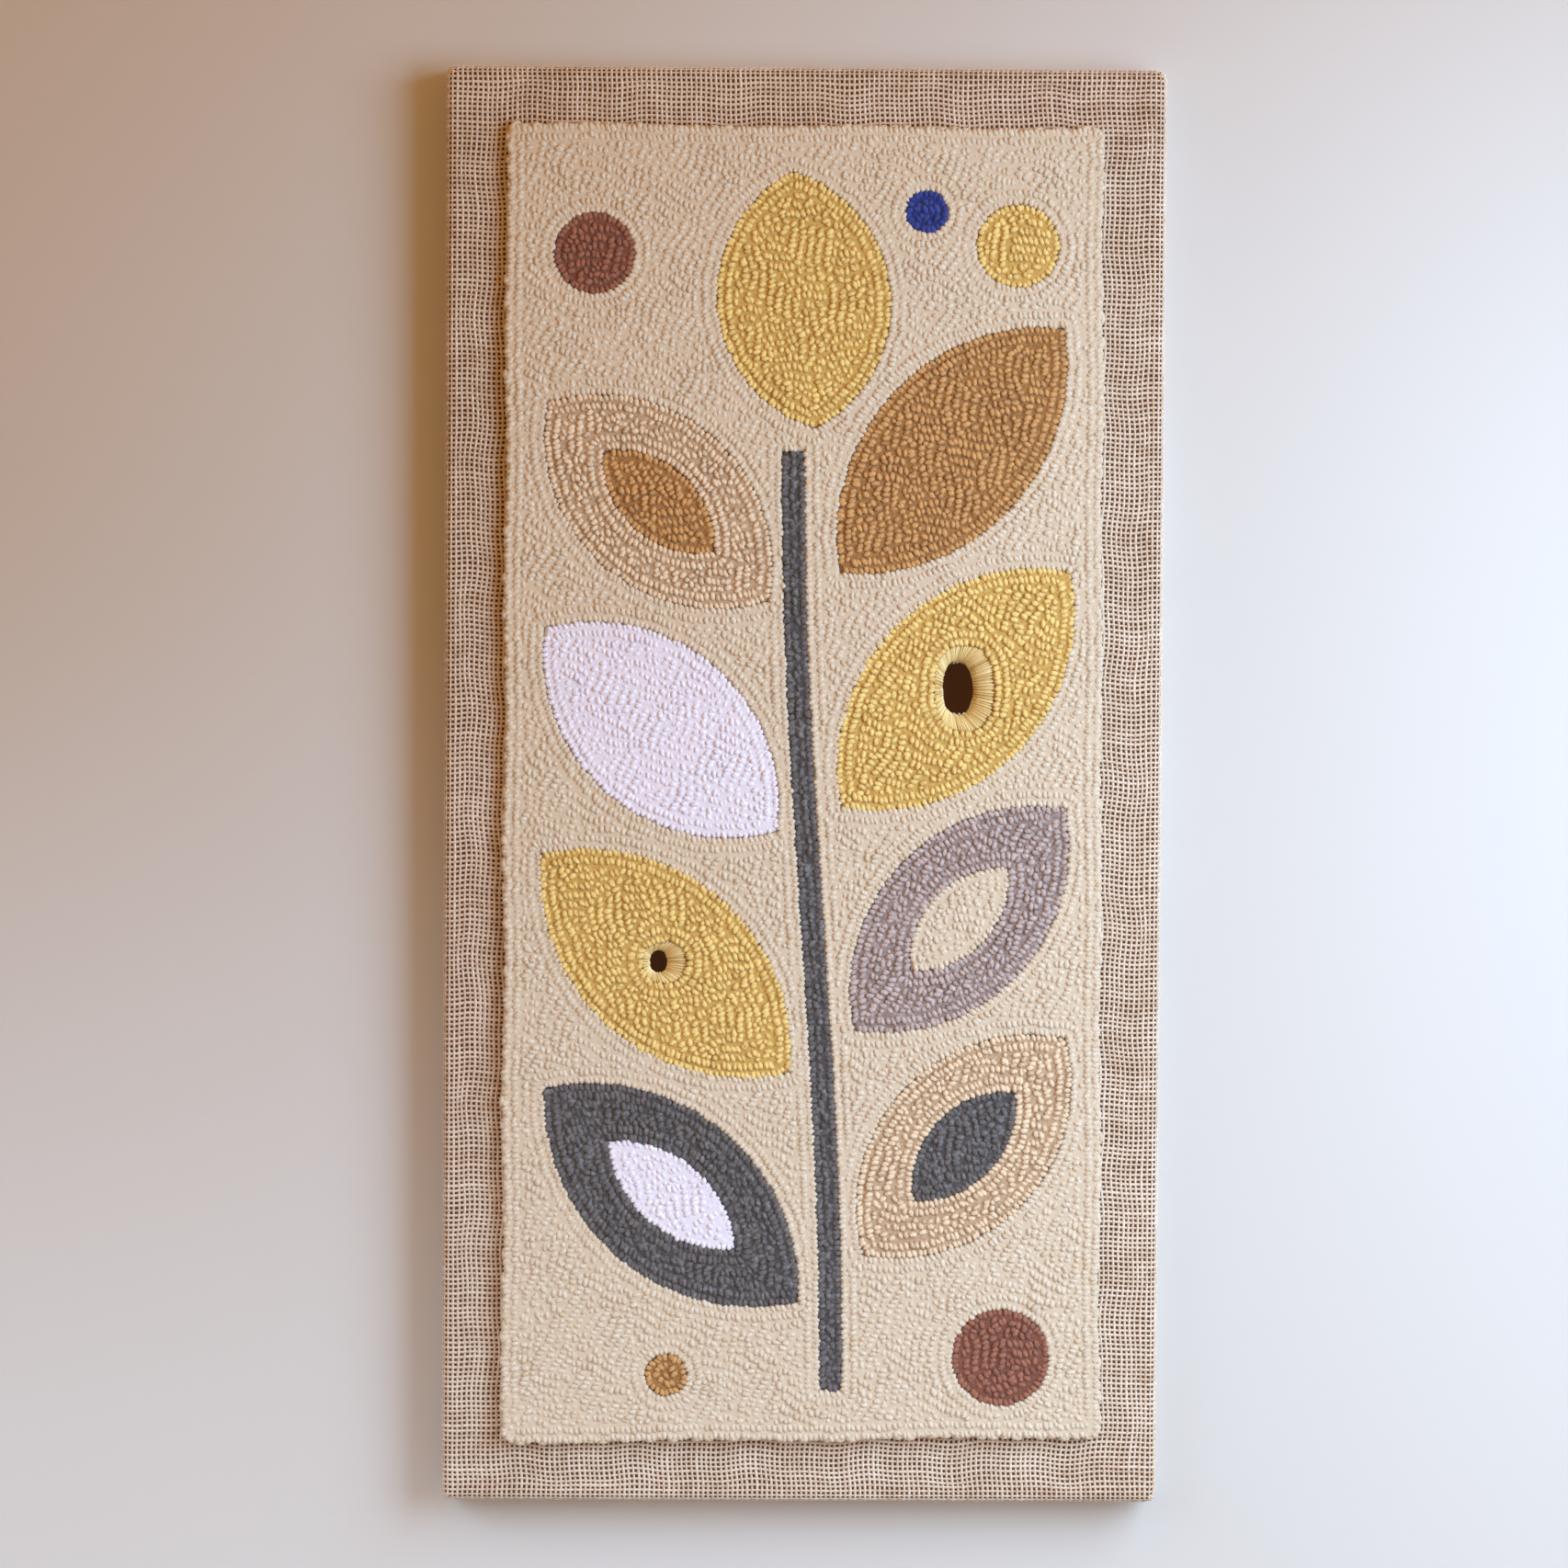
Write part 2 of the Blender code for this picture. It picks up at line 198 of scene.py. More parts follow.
sizes = [(label, "NodeSocketFloat") for label in ("Length", "Height", "Width", "Size spread")]
choices = [("Seed", "NodeSocketInt"), ("Material", "NodeSocketMaterial")]
SET_TREE, given = open_tree(
    "set pieces on points",
    [("Shape", "NodeSocketObject"), *sizes, *choices],
)
shape = add(SET_TREE, "GeometryNodeObjectInfo", {"Object": given["Shape"]})
own_turn = named(SET_TREE, "turn", "FLOAT_VECTOR")
turned = add(SET_TREE, "FunctionNodeEulerToRotation", {"Euler": own_turn})
whole = add(
    SET_TREE,
    "ShaderNodeCombineXYZ",
    {"X": given["Length"], "Y": given["Height"], "Z": given["Width"]},
)
smallest = maths(SET_TREE, "SUBTRACT", 1.0, given["Size spread"])
largest = maths(SET_TREE, "ADD", 1.0, given["Size spread"])
chance = add(
    SET_TREE,
    "FunctionNodeRandomValue",
    {2: smallest, 3: largest, 8: given["Seed"]},
    data_type="FLOAT",
)
own = add(
    SET_TREE,
    "ShaderNodeVectorMath",
    {0: whole.outputs[0], 1: named(SET_TREE, "size", "FLOAT_VECTOR")},
    operation="MULTIPLY",
)
scaled = add(
    SET_TREE,
    "ShaderNodeVectorMath",
    {0: own.outputs[0], "Scale": chance.outputs[1]},
    operation="SCALE",
)
placed = add(
    SET_TREE,
    "GeometryNodeInstanceOnPoints",
    {
        "Points": given["Geometry"],
        "Instance": shape.outputs["Geometry"],
        "Rotation": turned.outputs[0],
        "Scale": scaled.outputs[0],
    },
)
close_tree(SET_TREE, placed.outputs[0], given["Material"])
print("tree:", SET_TREE.name, "with", len(SET_TREE.nodes), "nodes")

# %% [markdown]
# ## A tree that covers lines with thread
#
# The linen's threads, the overcast stitches, the outer loops and the staples all follow a line.
# Curve to Mesh sweeps a round section along each one, scaled by the line's own thickness.

# %% Build the tree for threads on lines
THREAD_TREE, given = open_tree(
    "cover lines with thread",
    [("Radius", "NodeSocketFloat"), ("Sides", "NodeSocketInt"), ("Material", "NodeSocketMaterial")],
)
lines = add(THREAD_TREE, "GeometryNodeMeshToCurve", {"Mesh": given["Geometry"]})
section = add(
    THREAD_TREE,
    "GeometryNodeCurvePrimitiveCircle",
    {"Resolution": given["Sides"], "Radius": given["Radius"]},
)
swept = add(
    THREAD_TREE,
    "GeometryNodeCurveToMesh",
    {
        "Curve": lines.outputs[0],
        "Profile Curve": section.outputs[0],
        "Scale": named(THREAD_TREE, "thick", "FLOAT"),
        "Fill Caps": True,
    },
)
close_tree(THREAD_TREE, swept.outputs[0], given["Material"])
print("tree:", THREAD_TREE.name, "with", len(THREAD_TREE.nodes), "nodes")

# %% [markdown]
# ## From a plan to a plain mesh
#
# A plan is a mesh of bare points or lines with named values on them. The helper below puts a
# tree on it as a modifier, fills the tree's inputs by their identifiers, and keeps only the
# finished mesh, since a live modifier would not survive the export.

# %% Helpers that turn a plan into a mesh
KINDS = {1: ("FLOAT", "value"), 2: ("FLOAT_VECTOR", "vector")}
PLAN_VALUES = ("turn", "size", "thick")


def plan(name, places, edges=(), **values):
    mesh = bpy.data.meshes.new(name)
    mesh.from_pydata(np.asarray(places).tolist(), list(edges), [])
    for label, numbers in values.items():
        numbers = np.asarray(numbers, dtype=np.float32)
        kind, field = KINDS[numbers.ndim]
        mesh.attributes.new(label, kind, "POINT").data.foreach_set(field, numbers.ravel())
    return linked(name, mesh)


def work(item, tree, **inputs):
    modifier = item.modifiers.new(tree.name, "NODES")
    modifier.node_group = tree
    for socket in tree.interface.items_tree:
        if socket.in_out == "INPUT" and socket.name.replace(" ", "_") in inputs:
            modifier[socket.identifier] = inputs[socket.name.replace(" ", "_")]
    graph = bpy.context.evaluated_depsgraph_get()
    mesh = bpy.data.meshes.new_from_object(
        item.evaluated_get(graph), preserve_all_data_layers=True, depsgraph=graph
    )
    item.modifiers.clear()
    item.data = mesh
    for label in PLAN_VALUES:
        if label in mesh.attributes:
            mesh.attributes.remove(mesh.attributes[label])
    return item


counts = {}


def hand_over(item, slot, *stands_for):
    """Tie a finished piece to the frame, and print how big its mesh is."""
    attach(item, "root")
    if stands_for:
        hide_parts(*stands_for)
    item.data.calc_loop_triangles()
    counts[item.name] = len(item.data.loop_triangles)
    print(f"{item.name}: {counts[item.name]} triangles")
    return item


print("helpers ready")

# %% [markdown]
# ## Where the yarn is worked
#
# A worker fills a patch by following its outline, row inside row, and the rows meet in creases
# down the middle. The outlines come from the measured slabs: the sharp edge where a slab's wall
# starts to round over is a closed ring of mesh edges at one depth.

# %% Read the outlines of a patch
def rings_at(node, level):
    """Closed outlines of a piece at one depth, as arrays of (x, z), the outer one first."""
    mesh = nodes[node].data
    keys, where = {}, {}
    for vertex in mesh.vertices:
        if abs(vertex.co.y - level) < NEAR:
            key = (round(vertex.co.x / NEAR), round(vertex.co.z / NEAR))
            keys[vertex.index] = key
            where[key] = (vertex.co.x, vertex.co.z)
    links = {}
    for edge in mesh.edges:
        a, b = (keys.get(index) for index in edge.vertices)
        if a and b and a != b:
            links.setdefault(a, set()).add(b)
            links.setdefault(b, set()).add(a)
    rings = []
    while links:
        ring = [min(links)]
        here = min(links[ring[0]])
        while here != ring[0]:
            ring.append(here)
            here = next(key for key in links[here] if key != ring[-2])
        for key in ring:
            del links[key]
        rings.append(np.array([where[key] for key in ring]))
    return facing_in(rings)


def signed_area(ring):
    after = np.roll(ring, -1, axis=0)
    return float(np.sum(ring[:, 0] * after[:, 1] - after[:, 0] * ring[:, 1]) / 2)


def facing_in(rings):
    """Turn each outline so that the patch lies on its left.

    The outer one goes anticlockwise and holes go clockwise.
    """
    rings.sort(key=lambda ring: -abs(signed_area(ring)))
    turned = []
    for rank, ring in enumerate(rings):
        wanted = 1 if rank == 0 else -1
        turned.append(ring if signed_area(ring) * wanted > 0 else ring[::-1])
    return turned


outlines = {name: rings_at(name, PILE_FRONT + PILE_EASE) for name in patches}
areas = {name: sum(signed_area(ring) for ring in rings) for name, rings in outlines.items()}
print("worked area", round(sum(areas.values()) * 1e4), "square cm")

# %% [markdown]
# ## Rows that follow an outline
#
# Each row is the outline moved inwards. Points are set along the outline with the direction
# inwards at each, and fan out round an inner corner. A moved point is kept only if no other part
# of the outline is nearer than the row should be, which is what cuts the rows off at a crease.

# %% Offset rows
SAMPLE = 0.0007
SMOOTH_TURN = math.radians(25)
FAN_TURN = math.radians(6)
SLACK = 0.00012


def border_of(rings):
    """For each outline, points along it and the direction inwards at each."""
    border = []
    for ring in rings:
        ahead = np.roll(ring, -1, axis=0) - ring
        length = np.hypot(ahead[:, 0], ahead[:, 1])
        inward = np.stack([-ahead[:, 1], ahead[:, 0]], axis=1) / length[:, None]
        before = np.roll(inward, 1, axis=0)
        cross = before[:, 0] * inward[:, 1] - before[:, 1] * inward[:, 0]
        turn = np.arctan2(cross, np.sum(before * inward, axis=1))
        corner = before + inward
        corner /= np.hypot(corner[:, 0], corner[:, 1])[:, None]
        points, ways = [], []
        for i in range(len(ring)):
            j = (i + 1) % len(ring)
            if turn[i] < -SMOOTH_TURN:
                steps = math.ceil(-turn[i] / FAN_TURN)
                start = math.atan2(before[i, 1], before[i, 0])
                for step in range(steps + 1):
                    angle = start + turn[i] * step / steps
                    points.append(ring[i])
                    ways.append((math.cos(angle), math.sin(angle)))
            first = corner[i] if abs(turn[i]) < SMOOTH_TURN else inward[i]
            last = corner[j] if abs(turn[j]) < SMOOTH_TURN else inward[i]
            count = max(1, round(length[i] / SAMPLE))
            for step in range(count):
                share = (step + 0.5) / count
                way = first * (1 - share) + last * share
                points.append(ring[i] + ahead[i] * share)
                ways.append(way / math.hypot(*way))
        border.append((np.array(points), np.array(ways)))
    return border


def tree_of(border):
    points = np.concatenate([points for points, ways in border])
    tree = KDTree(len(points))
    for index, (x, z) in enumerate(points):
        tree.insert((x, z, 0), index)
    tree.balance()
    return tree


def kept_runs(points, ways, tree, depth):
    """The stretches of an outline moved inwards by this depth that no other outline cuts off."""
    moved = points + ways * depth
    good = [tree.find((x, z, 0))[2] > depth - SLACK for x, z in moved]
    if all(good):
        loop = list(range(len(moved))) + [0]
        return [(moved[loop], ways[loop])]
    if not any(good):
        return []
    first = good.index(False)
    order = [(first + step) % len(good) for step in range(len(good) + 1)]
    runs, run = [], []
    for index in order:
        if good[index]:
            run.append(index)
        elif run:
            runs.append((moved[run], ways[run]))
            run = []
    return runs


def evenly(line, ways, pitch):
    """Places an even step apart along a line, with the direction across the line at each."""
    steps = np.hypot(*np.diff(line, axis=0).T)
    reach = np.concatenate([[0], np.cumsum(steps)])
    count = max(1, round(reach[-1] / pitch))
    at = (np.arange(count) + 0.5) * reach[-1] / count
    places = np.stack([np.interp(at, reach, line[:, axis]) for axis in (0, 1)], axis=1)
    across = np.stack([np.interp(at, reach, ways[:, axis]) for axis in (0, 1)], axis=1)
    return places, across / np.hypot(across[:, 0], across[:, 1])[:, None]


borders = {name: border_of(rings) for name, rings in outlines.items()}
trees = {name: tree_of(border) for name, border in borders.items()}
print("points along the ground's outlines:", sum(len(ring[0]) for ring in borders["pile_ground"]))

# %% [markdown]
# ## Planning the loops
#
# Seen from the front a loop is a grain of yarn, longer than wide, that lies across its row and
# slants a little, since the needle always leaves the cloth the same way. Each loop claims three
# spots along its length, and a new loop is left out where one of its spots is already taken.
# The first rows follow the outline, two of them or only one in a small patch. Loops of two
# colours lock into each other where they meet, so a patch's outer row lies half over its
# neighbour, and so does the row round an eyelet. Inside them a worker fills in short wavy runs of
# rows, now upright and now level, so two directions change places in blocks. Last, gaps between
# the blocks are filled, with short loops where a whole one has no room.

# %% Plan the loops of every patch
ROW_PITCH = 0.0036
LOOP_PITCH = 0.0022
LOOP_LENGTH = 0.0040
LOOP_WIDTH = 0.0025
LOOP_HEIGHT = 0.0015
SLANT = math.radians(20)
SPOT_REACH = 0.0010
SPOT_CLEAR = 0.00158
SHORT_CLEAR = 0.00138
EDGE_CLEAR = 0.0005
FIRST_ROW = 0.0015
OVERLAP_ROW = 0.0008
FILL_STEP = 0.0012
SHORT = 0.4
SMALL_PATCH = 0.045
ROW_WAVE = 0.0011
WAVE_RATE = 260.0
BLOCK_RATE = 1.25
chooser = np.random.default_rng(11)


def claim(taken, x, z, across, share):
    """Take three spots along a loop's length, unless one of them is too near to a taken one."""
    reach = SPOT_REACH * share
    clear = SPOT_CLEAR if share == 1.0 else SHORT_CLEAR
    spots = [(x + across[0] * step, z + across[1] * step) for step in (-reach, 0.0, reach)]
    cells = [(math.floor(a / SPOT_CLEAR), math.floor(b / SPOT_CLEAR)) for a, b in spots]
    for (a, b), (i, j) in zip(spots, cells):
        for near in ((i + u, j + v) for u in (-1, 0, 1) for v in (-1, 0, 1)):
            for c, d in taken.get(near, ()):
                if (a - c) ** 2 + (b - d) ** 2 < clear**2:
                    return False
    for spot, cell in zip(spots, cells):
        taken.setdefault(cell, []).append(spot)
    return True


def leaning(across):
    cosine, sine = math.cos(SLANT), math.sin(SLANT)
    return (across[0] * cosine - across[1] * sine, across[0] * sine + across[1] * cosine)


def swell(x, z):
    """The gentle unevenness of hand work, between -1 and 1."""
    across = np.sin(x * 190 + 1.7 * np.sin(z * 110))
    return (across + np.sin(z * 150 + 2.1 * np.sin(x * 83 + 1.0))) / 2


def wavy_rows(middle, reach, turn):
    """Places along wavy parallel rows square to this turn, every second row half a step on."""
    across = np.array([math.cos(turn), math.sin(turn)])
    along = np.array([-across[1], across[0]])
    rows, steps = np.arange(-reach, reach, ROW_PITCH), np.arange(-reach, reach, LOOP_PITCH)
    u, v = np.meshgrid(rows, steps, indexing="ij")
    v = v + LOOP_PITCH / 2 * (np.arange(len(v)) % 2)[:, None]
    bend = ROW_WAVE * np.sin(v * WAVE_RATE + u * 90 + turn)
    return middle + (u + bend).reshape(-1, 1) * across + v.reshape(-1, 1) * along, across


def first_row(name, ring):
    """How far the first row lies from this outline of a patch."""
    if ring is outlines[name][0]:
        return FIRST_ROW if name == "pile_ground" else OVERLAP_ROW
    x, z = ring.mean(axis=0)
    for low, high in (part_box("eyelet_large"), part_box("eyelet_small")):
        if low.x < x < high.x and low.z < z < high.z:
            return OVERLAP_ROW
    return FIRST_ROW


def plan_patch(name):
    """One row for each loop of a patch.

    A row has x, z, the lengthwise direction, the distance to the patch's edge, and SHORT for a
    short loop or else 1.
    """
    border, tree = borders[name], trees[name]
    ways = np.concatenate([ways for points, ways in border])
    taken, found = {}, []

    def offer(x, z, across, share=1.0):
        point, index, distance = tree.find((x, z, 0))
        inside = (x - point[0]) * ways[index][0] + (z - point[1]) * ways[index][1]
        if inside > 0 and distance > EDGE_CLEAR and claim(taken, x, z, across, share):
            found.append((x, z, across[0], across[1], distance, share))

    low, high = outlines[name][0].min(axis=0), outlines[name][0].max(axis=0)
    for row in range(1 if min(high - low) < SMALL_PATCH else 2):
        for ring, (points, inwards) in zip(outlines[name], border):
            depth = first_row(name, ring) + row * ROW_PITCH
            for line, across in kept_runs(points, inwards, tree, depth):
                if len(line) > 1:
                    for (x, z), way in zip(*evenly(line, across, LOOP_PITCH)):
                        offer(x, z, leaning(way))
    first_turn = chooser.uniform(-0.5, 0.5)
    for turn, side in ((first_turn, 1), (first_turn + math.pi / 2, -1)):
        places, across = wavy_rows((low + high) / 2, np.hypot(*(high - low)) / 2, turn)
        inside = np.all((places > low) & (places < high), axis=1)
        chosen = swell(places[:, 0] * BLOCK_RATE, places[:, 1] * BLOCK_RATE) * side > 0
        for x, z in places[inside & chosen]:
            offer(x, z, leaning(across))
    for share in (1.0, SHORT):
        for x in np.arange(low[0], high[0], FILL_STEP):
            for z in np.arange(low[1], high[1], FILL_STEP):
                spot = (x, z) + chooser.uniform(-0.5, 0.5, 2) * FILL_STEP
                offer(*spot, leaning(ways[tree.find((*spot, 0))[1]]), share)
    return np.array(found)


loops = {name: plan_patch(name) for name in patches}
in_ground = len(loops["pile_ground"])
print("loops planned:", sum(map(len, loops.values())), "of which in the ground", in_ground)

# %% [markdown]
# ## The shape of one loop
#
# A low loop of soft plied yarn shows as a rounded grain. It is repeated thousands of times, so
# it is only 32 triangles: a top point, two rings and a bottom point hidden in the bed. It keeps
# its own coordinates as a named value, which the yarn's material reads to draw the plies.

# %% Model one loop
GRAIN_RINGS = ((0.64, 0.84), (1.00, 0.26))


def grain(name, sides, rings, bottom):
    """A closed grain of unit half sizes, long in X and wide in Z, with its top towards -Y.

    Where bottom is 0 its underside is one flat face.
    """
    bm = bmesh.new()
    top = bm.verts.new((0, -1, 0))
    circles = []
    for radius, height in rings:
        circle = []
        for step in range(sides):
            turn = math.tau * (step + 0.5) / sides
            circle.append(
                bm.verts.new((radius * math.cos(turn), -height, radius * math.sin(turn)))
            )
        circles.append(circle)
    foot = bm.verts.new((0, -bottom, 0))
    for step in range(sides):
        after = (step + 1) % sides
        bm.faces.new((top, circles[0][step], circles[0][after]))
        for inner, outer in zip(circles, circles[1:]):
            bm.faces.new((inner[step], outer[step], outer[after], inner[after]))
        if bottom:
            bm.faces.new((foot, circles[-1][after], circles[-1][step]))
    if not bottom:
        bm.verts.remove(foot)
        bm.faces.new(circles[-1][::-1])
    bmesh.ops.recalc_face_normals(bm, faces=bm.faces)
    mesh = bpy.data.meshes.new(name)
    bm.to_mesh(mesh)
    bm.free()
    lay = mesh.attributes.new("lay", "FLOAT_VECTOR", "POINT")
    lay.data.foreach_set("vector", np.array([vertex.co for vertex in mesh.vertices]).ravel())
    mesh.shade_smooth()
    item = linked(name, mesh)
    item.hide_render = True
    return item


LOOP_SHAPE = grain("loop shape", 8, GRAIN_RINGS, -0.75)
print("one loop has", len(LOOP_SHAPE.data.vertices), "points")

# %% [markdown]
# ## Yarn
#
# Wool yarn is matt and a little furry, so it has no gloss to speak of and a soft sheen at its
# edges. Its colour is never even: each loop differs, the plies wind round it with painted shade in
# the grooves between them, and single fibres catch the light. Each loop is painted lighter at its
# top and a deeper, redder shade of the same dye towards its foot, a painted shade for the crevices
# between loops, the more so the stronger the dye is. Heathered yarn is spun from fibres of several
# colours, so its noise is coarser and stronger.

# %% Make the yarns
FIBRE_SCALE = 900.0
HEATHER_SCALE = 420.0
PLIES, CROSS_PLIES = 9.0, 3.2


def mixed(tree, share, first, second):
    """The first colour where share is 0, and the second where it is 1."""
    sockets = {0: share, 6: first, 7: second}
    return add(tree, "ShaderNodeMix", sockets, data_type="RGBA", clamp_factor=True).outputs[2]


def noise(tree, place, scale, detail=2.0):
    sockets = {"Vector": place, "Scale": scale, "Detail": detail}
    return add(tree, "ShaderNodeTexNoise", sockets).outputs[0]


def weighted(tree, start, *terms):
    """A start value plus each of some other values times its weight."""
    for value, weight in terms:
        start = maths(tree, "ADD", start, maths(tree, "MULTIPLY", value, weight))
    return start


def value_of(tree, name, output="Fac"):
    return add(tree, "ShaderNodeAttribute", attribute_name=name).outputs[output]


def new_finish(name, roughness, sheen):
    """A new material, its tree, its shader and the place on the piece."""
    material = bpy.data.materials.new(name)
    material.use_nodes = True
    tree = material.node_tree
    shader = tree.nodes["Principled BSDF"]
    shader.inputs["Roughness"].default_value = roughness
    shader.inputs["Specular IOR Level"].default_value = 0.2
    shader.inputs["Sheen Weight"].default_value = sheen
    return material, tree, shader, add(tree, "ShaderNodeTexCoord").outputs["Object"]


def coat(tree, shader, colour, height, strength, distance):
    """Give the shader a colour and a relief."""
    tree.links.new(colour, shader.inputs["Base Color"])
    sockets = {"Strength": strength, "Distance": distance, "Height": height}
    tree.links.new(add(tree, "ShaderNodeBump", sockets).outputs[0], shader.inputs["Normal"])


def yarn(name, light, dark, depth, heather=0.0, fleck=None):
    material, tree, shader, place = new_finish(name, 0.92, 0.20)
    tint = value_of(tree, "tint")
    along = add(tree, "ShaderNodeSeparateXYZ", {0: value_of(tree, "lay", "Vector")}).outputs
    wound = weighted(tree, 0.0, (along[0], PLIES), (along[2], CROSS_PLIES))
    # Besides the relief, the plies' sine paints shade into the grooves between the plies.
    ply = maths(tree, "SINE", wound)
    fibre = noise(tree, place, FIBRE_SCALE)
    # along[1] runs from the loop's top to its foot, so depth paints shade towards the foot, for the
    # crevices between loops.
    parts = ((tint, 0.22), (along[1], -depth), (ply, 0.07), (fibre, 0.9))
    colour = mixed(tree, weighted(tree, 0.21 - depth / 2, *parts), dark, light)
    if heather:
        strands = noise(tree, place, HEATHER_SCALE, 3.0)
        amount = weighted(tree, -3.64 * heather, (strands, 7.0 * heather))
        colour = mixed(tree, amount, colour, fleck)
    coat(tree, shader, colour, weighted(tree, fibre, (ply, 0.35)), 0.35, 0.0003)
    shader.inputs["Specular IOR Level"].default_value = 0.15
    shader.inputs["Sheen Roughness"].default_value = 0.6
    return material


FLECKED_MAUVE = colour_of(216, 206, 208)
FLECKED_GREY = colour_of(142, 144, 148)
# Columns: light colour, dark colour, how strongly painted crevice shade darkens each loop towards
# its foot, and for heathered yarn the fleck's share and the fleck colour.
DYES = {
    "cream": ((220, 209, 191), (194, 168, 132), 0.20),
    "yellow": ((236, 210, 132), (170, 120, 38), 0.58),
    "ochre": ((206, 160, 100), (116, 70, 28), 0.62),
    "tan": ((230, 208, 178), (150, 115, 80), 0.62),
    "lilac": ((236, 234, 246), (210, 200, 214), 0.20),
    "mauve": ((190, 172, 166), (100, 78, 72), 0.56, 0.4, FLECKED_MAUVE),
    "charcoal": ((104, 100, 100), (42, 38, 38), 0.5, 0.5, FLECKED_GREY),
    "brown": ((160, 104, 82), (78, 42, 32), 0.50),
    "blue": ((48, 66, 154), (14, 20, 72), 0.5),
}
YARNS = {
    "yarn_" + dye: yarn(dye + " yarn", colour_of(*light), colour_of(*dark), *rest)
    for dye, (light, dark, *rest) in DYES.items()
}
print("yarns:", ", ".join(material.name for material in YARNS.values()))

# %% [markdown]
# ## Working the patches
#
# Each patch gets a bed and its loops. The bed is the measured slab made lower, so that the loops
# stand out of it and the crevices between them have a floor of the same yarn. No loop is quite
# like its neighbour, so each gets its own small lean, height and tint. The cream ground is the
# largest patch and is kept as two meshes.

# %% Lay the beds and set the loops
BED_SHARES = {"yarn_cream": 0.885, "yarn_lilac": 0.90}
OTHER_BED_SHARE = 0.83
WELD = 0.00001
LEAN_SPREAD = math.radians(10)
PITCH_TILT = math.radians(5)
TURN_SPREAD = math.radians(14)
PLACE_SPREAD = 0.00024
SIZE_SPREAD = 0.06
SINK_AT_EDGE = 0.0002
HEIGHT_SPREAD = 0.00012
SWELL = 0.00016
OVERHANG = 0.0010
SIZE_RANGE = (0.90, 1.12)
SHORTEST_AT_EDGE = 0.7
SHORT_LENGTH = 0.62


def copied(name, node, material):
    """A copy of a measured piece with its loose triangles joined up."""
    mesh = nodes[node].data.copy()
    mesh.materials.clear()
    mesh.materials.append(material)
    bm = bmesh.new()
    bm.from_mesh(mesh)
    bmesh.ops.remove_doubles(bm, verts=bm.verts, dist=WELD)
    bm.to_mesh(mesh)
    bm.free()
    return linked(name, mesh)


def loop_values(found):
    """Where each loop's middle is, how it is turned, its size and its tint."""
    x, z, along_x, along_z, edge, share = found.T
    count = len(found)
    x = x + chooser.normal(0, PLACE_SPREAD, count)
    z = z + chooser.normal(0, PLACE_SPREAD, count)
    y = PILE_FRONT + LOOP_HEIGHT + SWELL * swell(x, z) + chooser.normal(0, HEIGHT_SPREAD, count)
    y += SINK_AT_EDGE * (edge < FIRST_ROW * 1.2)
    angle = np.arctan2(-along_z, along_x) + chooser.normal(0, TURN_SPREAD, count)
    lean = chooser.normal(0, LEAN_SPREAD, count)
    tilt = chooser.normal(PITCH_TILT, PITCH_TILT / 2, count)
    turn = []
    for about_y, about_z, about_x in zip(angle, tilt, lean):
        laid = Matrix.Rotation(about_y, 3, "Y") @ Matrix.Rotation(about_z, 3, "Z")
        turn.append((laid @ Matrix.Rotation(about_x, 3, "X")).to_euler())
    size = chooser.uniform(*SIZE_RANGE, (count, 3))
    size[:, 0] *= np.clip((edge + OVERHANG) / (LOOP_LENGTH / 2), SHORTEST_AT_EDGE, 1.0)
    size[:, 0] *= np.where(share < 1, SHORT_LENGTH, 1.0)
    tint = np.clip(chooser.normal(0, 0.5, count) + 0.4 * swell(x * 3, z * 3), -1.5, 1.5)
    return np.stack([x, y, z], axis=1), np.array(turn), size, tint


def set_on_points(item, shape, size, seed, material):
    """Set a shape of this length, height and width on every point of a plan."""
    length, height, width = size
    return work(
        item,
        SET_TREE,
        Shape=shape,
        Length=length,
        Height=height,
        Width=width,
        Size_spread=SIZE_SPREAD,
        Seed=seed,
        Material=material,
    )


def set_loops(name, found, slot, stands_for):
    places, turn, size, tint = loop_values(found)
    item = plan(name, places, turn=turn, size=size, tint=tint)
    half_size = (LOOP_LENGTH / 2, LOOP_HEIGHT, LOOP_WIDTH / 2)
    set_on_points(item, LOOP_SHAPE, half_size, 5, YARNS[slot])
    hand_over(item, slot, stands_for)


for name in patches:
    slot = slot_of[name]
    bed = copied("bed_" + name, name, YARNS[slot])
    for vertex in bed.data.vertices:
        vertex.co.y = PILE_BACK + (vertex.co.y - PILE_BACK) * BED_SHARES.get(slot, OTHER_BED_SHARE)
    hand_over(bed, slot, name)
    found = loops[name]
    if name == "pile_ground":
        upper = found[:, 1] > CENTRE_Z
        set_loops("loops_ground_upper", found[upper], slot, name)
        set_loops("loops_ground_lower", found[~upper], slot, name)
    else:
        set_loops("loops_" + name, found, slot, name)
print("triangles so far:", sum(counts.values()))

# %% [markdown]
# ## The outermost loops
#
# At the rim nothing holds the last row up, so its loops lean outwards and show as a line of
# smooth lumps, and from the side as the arches that they are. Each is a line that rises from the
# cloth, passes over and comes down again, covered with yarn.

# %% Bend the outermost loops
RIM_PITCH = 0.0050
RIM_RADIUS = 0.00125
RIM_SPAN = 0.0021
RIM_RISE = 0.0043
RIM_LEAN = 0.0007
RIM_FOOT = 0.0002
RIM_STEPS = 7


def line_plan(name, lines, **values):
    """One mesh of separate lines. Each value has one number for every point."""
    edges, start = [], 0
    for line in lines:
        edges += [(start + step, start + step + 1) for step in range(len(line) - 1)]
        start += len(line)
    return plan(name, np.concatenate(lines), edges, **values)


